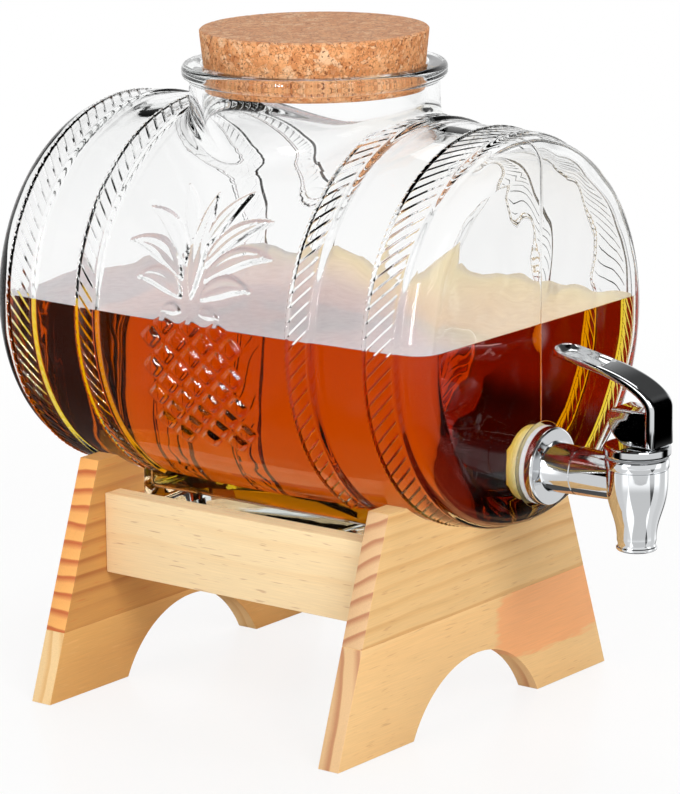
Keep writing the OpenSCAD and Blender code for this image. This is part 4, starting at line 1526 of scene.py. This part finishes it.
@dataclass
class TapLever:
    """Cast lever: upright front, bent arm and hollowed thumb pad, on a boat shaped foot that holds the pin.

    Sizes are measured from the stem's axis and from the underside of the foot.

    Attributes:
        front_rows: Heights of the sections of the upright front, and how far they are drawn in.
        bend, foot_nose: Control points of the arm's outer line and of the foot's nose.
        pad_left: Places of the pad's sections, from its tip.
        dish, dish_rim: Depth of the hollow in the pad, and the rim left around it.
        pin, pin_r, pin_cover: Place and radius of the pin's hole, and the metal left over its far end.
        slot_x, slot_half, slot_top: Ends, half width and height of the slot for the stem.
    """

    low_z: float = 124.9654
    half_w: float = 7.5
    front: float = 12.0
    foot_h: float = 14.9
    arm_t: float = 4.0
    pad_t: float = 3.0
    bend: tuple[Pair, ...] = ((12.0, 14.9), (12.0, 19.93), (4.5, 26.03), (-12.8, 30.0))
    pad_tip: Pair = (-37.7, 35.0)
    front_rows: tuple[Pair, ...] = ((0.0, 0.7), (0.2, 0.3), (0.7, 0.0), (8.0, 0.0))
    pad_left: tuple[float, ...] = (
        24.4, 23.9, 23.4, 22.9, 22.0, 20.0, 16.0, 13.0, 10.0, 7.5, 5.5, 4.0, 2.8, 1.8, 1.0, 0.5, 0.15, 0.02)
    dish: float = 1.9
    dish_rim: float = 0.8
    edge: float = 1.0
    foot_nose: tuple[Pair, ...] = ((-9.7, 11.6), (-9.3, 5.2), (-5.5, 0.6), (0.5, 0.0))
    pin: Pair = (2.5, 6.2)
    pin_r: float = 1.52
    pin_cover: float = 2.0
    slot_x: Pair = (-6.32, 8.2)
    slot_half: float = 3.3
    slot_top: float = 11.9

    def section(self, at: np.ndarray, way: np.ndarray, half: float, low: float, high: float,
                hollow: float = 0.0) -> Ring:
        """One cross section of the arm.

        Args:
            at: Point on the arm's outer line.
            way: Direction of the arm there.
            half: Half width.
            low: Depth of the outer face below that line.
            high: Depth of the inner face below that line.
            hollow: Depth of the dish in the outer face.

        Returns:
            The section as a ring.
        """
        y = half * np.sin(np.linspace(-1, 1, 17) * math.pi / 2)
        edge = min(self.edge, 0.9 * half, 0.45 * (high - low))
        over = np.clip((np.abs(y) - half + edge) / edge, 0.0, 1.0)
        fall = edge * (1 - np.sqrt(1 - over ** 2))
        dish = hollow * ease((half - self.dish_rim - np.abs(y)) / 3.2)
        depth = np.concatenate([low + fall + dish, (high - fall)[::-1]])
        spot = at + depth[:, None] * np.array([-way[1], way[0]])
        across = np.concatenate([y, y[::-1]])
        points = np.stack([STEM_X + spot[:, 0], across, self.low_z + spot[:, 1]], axis=-1)
        return Ring(points, np.arange(float(len(points))), "arm")

    def arm(self) -> Piece:
        """Arm and thumb pad in one sweep.

        Returns:
            The solid.
        """
        up = np.array([0.0, 1.0])
        rings = [self.section(np.array([self.front, z]), up, self.half_w - inset, inset, self.arm_t - inset)
                 for z, inset in self.front_rows]
        steps = np.diff(np.array(self.bend), axis=0)
        for t in np.linspace(0, 1, 28):
            way = (1 - t) ** 2 * steps[0] + 2 * t * (1 - t) * steps[1] + t * t * steps[2]
            thick = self.arm_t + (self.pad_t - self.arm_t) * t
            rings.append(self.section(cubic(self.bend, t), way / np.hypot(*way), self.half_w, 0.0, thick))
        start, tip = np.array(self.bend[-1]), np.array(self.pad_tip)
        length = float(np.hypot(*(tip - start)))
        way = (tip - start) / length
        for left in self.pad_left:
            half = math.sqrt(self.half_w ** 2 - max(0.0, self.half_w - left) ** 2)
            blunt = 0.5 * self.pad_t * (1 - math.sqrt(1 - max(0.0, 1 - left / 1.5) ** 2))
            hollow = self.dish * float(ease((left - 0.8) / 4.0) * ease((length - 1.0 - left) / 1.5))
            rings.append(self.section(tip - way * left, way, half, blunt, self.pad_t - blunt, hollow))
        return loft("tap_lever_cast", rings)

    def foot(self) -> Piece:
        """Foot with its rounded nose, which rolls on the bonnet.

        Returns:
            The solid.
        """
        nose = [cubic(self.foot_nose, t) for t in np.linspace(0, 1, 15)]
        outline = [(self.front - 0.4, 0.0), (self.front - 0.4, self.foot_h - 0.4), (-7.2, self.foot_h - 0.4),
                   (-9.0, self.foot_h - 1.2), *nose]
        half = self.half_w - 0.25
        made = prism("foot", *(np.array([(STEM_X + x, y, self.low_z + z) for x, z in outline])
                               for y in (-half, half)))
        break_edges(made, self.edge, 40, 4)
        return made

    def build(self) -> Piece:
        """Builds the lever and hangs it on its body.

        Returns:
            The piece.
        """
        lever = self.arm()
        combine(lever, self.foot(), Cut.ADD)
        x0, x1 = (STEM_X + x for x in self.slot_x)
        slot = block("slot", (x0, x1), (-self.slot_half, self.slot_half),
                     (self.low_z - 1.0, self.low_z + self.slot_top))
        combine(lever, slot, Cut.TAKE)
        hole = (STEM_X + self.pin[0], 0.0, self.low_z + self.pin[1])
        rows = [(self.pin_cover - self.half_w, self.pin_r), (self.half_w + 1, self.pin_r)]
        combine(lever, turned("pin_hole", hole, Axis.Y, rows, 48), Cut.TAKE)
        smooth(lever, 36)
        CHROME.dress(lever)
        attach(lever, "lever")
        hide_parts("tap_lever")
        return lever


@dataclass
class TapBody:
    """Chrome tap body: thread, flange and shank about X, and the vase shaped spout about Z.

    Attributes:
        line_x: Place of the fine line on the shank, from the flange's foot.
        lip, band, bore: Rows of height above the spout's mouth and radius.
        vase: Control points of the spout's side, by radius and height.
    """

    spout_z: float = 82.2654
    thread_x: float = 92.1
    flange_x: float = 114.0
    thread_r: float = 8.0
    flange_r: float = 15.7
    flange_t: float = 4.0
    flange_round: float = 1.2
    shank_r: float = 10.0
    shank_end_r: float = 8.75
    line_x: float = 17.1
    inlet_r: float = 5.2
    lip: tuple[Pair, ...] = (
        (0.0, 7.2), (0.2, 7.7), (0.6, 8.02), (1.1, 8.1), (1.5, 7.95), (1.8, 7.55), (2.3, 7.4), (3.0, 7.5))
    vase: tuple[Pair, ...] = ((7.8, 4.0), (7.8, 14.24), (12.3, 16.03), (12.3, 29.6))
    band: tuple[Pair, ...] = ((32.8, 12.3), (33.05, 12.05), (33.3, 12.05), (33.5, 12.55), (33.8, 12.7),
                              (36.8, 12.7), (37.2, 12.5), (37.4, 12.2))
    bore: tuple[Pair, ...] = ((-1.0, 6.2), (16.7, 6.2), (18.7, 8.2), (38.4, 8.2))

    def shank(self) -> Piece:
        """Thread, flange and shank with its fine line.

        Returns:
            The solid.
        """
        thick, bend, r = self.flange_t, self.flange_round, self.shank_r
        reach, tail = STEM_X - self.flange_x, self.thread_x - self.flange_x
        at_line = r + (self.shank_end_r - r) / (reach - thick) * (self.line_x - thick)
        rows = [(tail, self.thread_r - 0.6), (tail + 0.6, self.thread_r), (0.0, self.thread_r),
                (0.0, self.flange_r - 0.4), (0.12, self.flange_r - 0.12), (0.4, self.flange_r),
                *arc(thick - bend, self.flange_r - bend, bend, 0, 90, 9),
                (thick, r + 0.6), (thick + 0.18, r + 0.18), (thick + 0.6, r), (self.line_x - 0.3, at_line),
                (self.line_x, at_line - 0.3), (self.line_x + 0.3, at_line), (reach, self.shank_end_r)]
        return turned("tap_body_plated", (self.flange_x, 0.0, TAP_Z), Axis.X, rows, 144)

    def build(self) -> Piece:
        """Builds the tap body and hangs it on the vessel.

        Returns:
            The piece.
        """
        body = self.shank()
        side = [cubic(self.vase, t)[::-1] for t in np.linspace(0, 1, 28)]
        origin = (STEM_X, 0.0, self.spout_z)
        combine(body, turned("vase", origin, Axis.Z, [*self.lip, *side, *self.band], 160), Cut.ADD)
        inlet = [(self.thread_x - 1.0, self.inlet_r), (STEM_X, self.inlet_r)]
        combine(body, turned("inlet", (0.0, 0.0, TAP_Z), Axis.X, inlet, 64), Cut.TAKE)
        combine(body, turned("bore", origin, Axis.Z, self.bore, 96), Cut.TAKE)
        smooth(body, 32)
        CHROME.dress(body)
        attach(body, "vessel")
        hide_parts("tap_body")
        return body


@dataclass
class LockNut:
    """Flanged lock nut inside the barrel.

    Attributes:
        low_x, flange_x, high_x: Ends of its hexagon and of its flange.
        flange_r, hole_r: Radius of the flange and of the hole.
        flats: Width across the hexagon's flats.
    """

    low_x: float = 95.1
    flange_x: float = 98.4
    high_x: float = 103.1
    flange_r: float = 15.1
    flats: float = 26.0
    hole_r: float = 8.1

    def build(self) -> Piece:
        """Builds the nut and hangs it on the vessel.

        Returns:
            The piece.
        """
        origin, x, r = (0.0, 0.0, TAP_Z), self.flange_x, self.flange_r
        flange = [(x, r - 0.8), (x + 0.25, r - 0.25), (x + 0.8, r), (self.high_x - 0.4, r),
                  (self.high_x, r - 0.4)]
        nut = turned("lock_nut_moulded", origin, Axis.X, flange, 120)
        out = self.flats / math.sqrt(3) - 0.9
        turn = np.radians(np.arange(6) * 60 + 30)
        six = (np.array([(at, out * math.cos(a), TAP_Z + out * math.sin(a)) for a in turn])
               for at in (self.low_x, x + 1.0))
        hexagon = prism("hexagon", *six)
        break_edges(hexagon, 0.6, 30, 3)
        combine(nut, hexagon, Cut.ADD)
        hole = [(self.low_x - 1, self.hole_r), (self.high_x + 1, self.hole_r)]
        combine(nut, turned("hole", origin, Axis.X, hole, 72), Cut.TAKE)
        smooth(nut, 34)
        NYLON.dress(nut)
        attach(nut, "vessel")
        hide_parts("lock_nut")
        return nut


@dataclass
class ReturnSpring:
    """Wound return spring, which stands on the plug under the bonnet, wound at rest.

    Attributes:
        coil_r, wire_r: Radius of the coil's middle and of its wire.
        turns: Turns of the coil.
        low_z, high_z: Ends of the spring at rest.
        travel: How much shorter it is with the valve open; not used.
    """

    coil_r: float = 5.0
    wire_r: float = 0.5
    turns: int = 5
    low_z: float = 104.198
    high_z: float = 115.415
    travel: float = 1.9

    def build(self) -> Piece:
        """Winds the spring and hangs it on the valve.

        Returns:
            The piece.
        """
        around = np.arange(12) * math.pi / 6
        r = self.coil_r + self.wire_r * np.cos(around)
        rings = []
        for t in np.linspace(0, 1, 36 * self.turns + 1):
            a = 2 * math.pi * self.turns * t
            z = self.low_z + self.wire_r + (self.high_z - self.low_z - 2 * self.wire_r) * t
            spots = [STEM_X + r * math.cos(a), r * math.sin(a), z + self.wire_r * np.sin(around)]
            rings.append(Ring(np.stack(spots, axis=-1), around, "wire"))
        spring = loft("valve_spring_wound", rings)
        smooth(spring, 50)
        STEEL.dress(spring)
        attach(spring, "valve")
        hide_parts("valve_spring")
        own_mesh(spring)
        return spring


@dataclass
class CadPieces:
    """The CAD solids that are shown as they are, each with its finish."""

    finishes: tuple[tuple[str, Finish], ...] = (
        ("tap_bonnet", CHROME), ("lever_pin", STEEL), ("bonnet_gasket", GREY_SILICONE),
        ("outer_washer", CLEAR_SILICONE), ("inner_washer", SILICONE), ("stem_seal", NITRILE),
        ("valve_stem", NYLON), ("valve_plug", SILICONE), ("rail_dowels", BEECH),
    )

    def build(self) -> list[Piece]:
        """Dresses the solids.

        Returns:
            The pieces.
        """
        for node, finish in self.finishes:
            finish.dress(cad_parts[node])
        return [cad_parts[node] for node, _ in self.finishes]


@dataclass(frozen=True)
class Lamp:
    """One soft lamp that faces the object, in metres.

    Attributes:
        name: Its name.
        at: Its place.
        size: Its width and height.
        watts: Its power.
        piece: A piece that it lights alone or leaves out, or nothing where it lights all.
        link: Which of the two.
    """

    name: str
    at: Triple
    size: Pair
    watts: float
    piece: str = ""
    link: Link = Link.ALONE

    def build(self) -> None:
        """Adds the lamp; one for a single piece gives no light to matt surfaces by way of that piece."""
        data = bpy.data.lights.new(self.name, "AREA")
        data.shape, data.size, data.size_y, data.energy = "RECTANGLE", *self.size, self.watts
        made = bpy.data.objects.new(self.name, data)
        made.location = self.at
        made.rotation_mode = "QUATERNION"
        made.rotation_quaternion = (Vector(self.at) - Vector((0, 0, 0.12))).to_track_quat("Z", "Y")
        made.visible_transmission = False
        bpy.context.scene.collection.objects.link(made)
        if not self.piece:
            return
        lit = bpy.data.collections.new(self.name)
        lit.objects.link(bpy.data.objects[self.piece])
        lit.collection_objects[0].light_linking.link_state = self.link.value
        made.light_linking.receiver_collection = lit
        if self.link is Link.ALONE:
            data.use_nodes = True
            tree = data.node_tree
            depth = add_node(tree, "LightPath", out="Diffuse Depth")
            straight = add_node(tree, "Math", {0: depth, 1: 0.5}, operation="LESS_THAN")
            plug(tree, tree.nodes["Emission"], {"Strength": straight})


@dataclass
class Studio:
    """White floor and background, soft lamps, dark flags at the sides for metal and glass, and the camera.

    Lengths are in metres. A step row holds the heights of a direction, or distances, where a change starts
    and ends, and the levels there.

    Attributes:
        ambient, behind_glass: Level of the white surroundings on matt surfaces, and its share through glass.
        flag_heading: Heading of the dark flag behind on the right, in degrees from +Y towards +X; the other
            flag stands opposite.
        flag_half: Half widths in degrees, of its full dark and of its soft edge.
        behind_right, before_left: Level of each flag as seen through glass.
        ceiling, ground: Steps of the dark above and below, as metal shows them.
        steep: Step of the dark below, as light that is mirrored inside the drink meets it.
        lamps: Lamps; a strip that only the glass shows, and white panels that only the tap body shows.
    """

    azimuth: float = 37.866
    elevation: float = 13.243
    roll: float = -0.64
    target: Triple = (-0.0184, 0.0, 0.12367)
    distance: float = 1.6566
    lens: float = 183.0
    floor_half: float = 30.0
    floor_white: tuple[float, float, float, float] = (0.28, 0.8, 0.8, 1.0)
    ambient: float = 0.5
    behind_glass: float = 0.35
    flag_heading: float = 38.0
    flag_half: Pair = (9.0, 22.0)
    behind_right: float = 0.04
    before_left: float = 0.5
    ceiling: tuple[float, float, float, float] = (0.24, 0.55, 1.0, 0.07)
    ground: tuple[float, float, float, float] = (-0.2, -0.4, 1.0, 0.1)
    steep: tuple[float, float, float, float] = (-0.45, -0.7, 1.0, 0.1)
    lamps: tuple[Lamp, ...] = (
        Lamp("key", (1.7, -0.95, 1.4), (1.1, 1.1), 27.5, "tap_body_plated", Link.NOT),
        Lamp("top", (-0.4, 0.9, 2.0), (1.4, 1.4), 14.0),
        Lamp("fill", (0.0, -1.6, 0.7), (0.8, 0.8), 7.0),
        Lamp("glint", (0.2, -1.5, 0.6), (0.3, 0.9), 80.0, "glass_barrel_moulded"),
        Lamp("panel_left", (-0.32, -0.56, -0.25), (1.2, 1.1), 3.7, "tap_body_plated"),
        Lamp("panel_right", (0.56, 0.55, -0.25), (1.2, 1.1), 3.7, "tap_body_plated"),
        Lamp("panel_low", (0.49, -0.47, -0.5), (1.4, 0.95), 3.0, "tap_body_plated"),
    )

    def camera(self) -> None:
        """Sets up the camera at the photograph's viewing angle."""
        az, el, roll = (math.radians(v) for v in (self.azimuth, self.elevation, self.roll))
        back = Vector((math.sin(az) * math.cos(el), -math.cos(az) * math.cos(el), math.sin(el)))
        right = Vector((0, 0, 1)).cross(back).normalized()
        up = back.cross(right)
        tilted = right * math.cos(roll) + up * math.sin(roll)
        upward = up * math.cos(roll) - right * math.sin(roll)
        data = bpy.data.cameras.new("camera")
        data.lens, data.sensor_width, data.sensor_fit = self.lens, 36.0, "AUTO"
        data.clip_start, data.clip_end = 0.1, 60.0
        made = bpy.data.objects.new("camera", data)
        bpy.context.scene.collection.objects.link(made)
        turn = Matrix((tilted, upward, back)).transposed().to_4x4()
        made.matrix_world = Matrix.Translation(Vector(self.target) + back * self.distance) @ turn
        bpy.context.scene.camera = made

    def floor(self) -> None:
        """Lays the satin white paper floor, which keeps the object's shadow and goes white away from it."""
        half = self.floor_half
        spots = [(x * half, y * half, -0.0002) for x, y in ((-1, -1), (1, -1), (1, 1), (-1, 1))]
        made = add_object("floor", np.array(spots), [(0, 1, 2, 3)])
        paper = bpy.data.materials.new("paper_white_satin")
        paper.use_nodes = True
        tree = paper.node_tree
        shader = tree.nodes["Principled BSDF"]
        plug(tree, shader, {"Base Color": "#F4F4F4", "Roughness": 0.22})
        spot = add_node(tree, "TexCoord", out="Object")
        away = add_node(tree, "VectorMath", {0: spot}, "Value", operation="LENGTH")
        share = add_node(tree, "MapRange", dict(enumerate((away, *self.floor_white))),
                         interpolation_type="SMOOTHSTEP")
        camera = add_node(tree, "LightPath", out="Is Camera Ray")
        eye = add_node(tree, "Math", {0: share, 1: camera}, operation="MULTIPLY")
        white = add_node(tree, "Emission", {"Color": WHITE, "Strength": 1.0})
        both = add_node(tree, "MixShader", {0: eye, 1: shader.outputs[0], 2: white})
        tree.links.new(both, tree.nodes["Material Output"].inputs["Surface"])
        made.data.materials.append(paper)
        made.visible_glossy = made.visible_transmission = False

    def world(self) -> None:
        """Sets up the surroundings.

        They are white for the eye, with dark flags, ceiling and ground for what metal and glass show.
        """
        made = bpy.data.worlds.new("studio")
        made.use_nodes = True
        bpy.context.scene.world = made
        tree = made.node_tree
        ray = add_node(tree, "LightPath").node.outputs
        where = add_node(tree, "TexCoord", out="Generated")
        height = add_node(tree, "SeparateXYZ", {0: where}, "Z")
        flat = add_node(tree, "Mapping", {"Vector": where, "Scale": (1.0, 1.0, 0.0)})
        ahead = add_node(tree, "VectorMath", {0: flat}, operation="NORMALIZE")
        a = math.radians(self.flag_heading)
        heading = (math.sin(a), math.cos(a), 0.0)
        side = add_node(tree, "VectorMath", {0: ahead, 1: heading}, "Value", operation="DOT_PRODUCT")
        either_side = add_node(tree, "Math", {0: side}, operation="ABSOLUTE")
        full, edge = (math.cos(math.radians(v)) for v in self.flag_half)
        steps = ((side, edge, full, 1.0, self.behind_right), (side, -edge, -full, 1.0, self.before_left),
                 (either_side, edge, full, 1.0, 0.0), (height, *self.ceiling), (height, *self.ground),
                 (height, *self.steep))
        right, left, flags, ceiling, ground, steep = (
            add_node(tree, "MapRange", dict(enumerate(step)), interpolation_type="SMOOTHSTEP")
            for step in steps)
        # Glass shows the flags. The steep dark ground is only for light that is mirrored inside the drink.
        straight = add_node(tree, "Math", {0: 1.0, 1: ray["Glossy Depth"]}, operation="SUBTRACT")
        plain = add_node(tree, "Math", {0: straight, 1: ray["Diffuse Depth"]}, operation="MAXIMUM")
        below = add_node(tree, "Math", {0: steep, 1: plain}, operation="MAXIMUM", use_clamp=True)
        behind = add_node(tree, "Math", {0: right, 1: left}, operation="MULTIPLY")
        through = add_node(tree, "Math", {0: behind, 1: below}, operation="MULTIPLY")
        # Metal shows the flags fully dark, and the ceiling and the ground.
        level = add_node(tree, "Math", {0: ceiling, 1: ground}, operation="MULTIPLY")
        mirrored = add_node(tree, "Math", {0: flags, 1: level}, operation="MULTIPLY")
        glossy, clear, depth = (
            ray[name] for name in ("Is Glossy Ray", "Is Transmission Ray", "Diffuse Depth"))
        sky = add_node(tree, "Mix", {0: clear, 2: mirrored, 3: through}, data_type="FLOAT")
        shiny = add_node(tree, "Math", {0: glossy, 1: clear}, operation="MAXIMUM")
        direct = add_node(tree, "MapRange", {0: depth, 3: 1.0, 4: self.behind_glass})
        shown = add_node(tree, "Math", {0: sky, 1: direct}, operation="MULTIPLY")
        matt, mirror, eye = (add_node(tree, "Background", {"Color": WHITE, "Strength": strength})
                             for strength in (self.ambient, shown, 1.0))
        lit = add_node(tree, "MixShader", {0: shiny, 1: matt, 2: mirror})
        seen = add_node(tree, "MixShader", {0: ray["Is Camera Ray"], 1: lit, 2: eye})
        tree.links.new(seen, tree.nodes["World Output"].inputs["Surface"])

    def build(self) -> None:
        """Sets up the studio apart from its lamps."""
        self.camera()
        self.floor()
        self.world()
        bpy.context.scene.view_settings.view_transform = "Standard"

    def light(self) -> None:
        """Adds the lamps, once the pieces that they name are there."""
        for lamp in self.lamps:
            lamp.build()


def main() -> None:
    """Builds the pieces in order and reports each."""
    logging.basicConfig(level=logging.INFO, format="%(name)s: %(message)s")
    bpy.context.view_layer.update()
    studio = Studio()
    studio.build()
    barrel = GlassBarrel()
    body = TapBody().build()
    glass = barrel.build(FruitRelief())
    studio.light()
    pieces = [glass, *Drink().build(barrel), CorkStopper().build(), *Stand().build(), body]
    pieces += [LockNut().build(), TapLever().build(), ReturnSpring().build(), *CadPieces().build()]
    for piece in pieces:
        LOG.info("%s: %d faces", piece.name, len(piece.data.polygons))


if __name__ == "__main__":
    main()
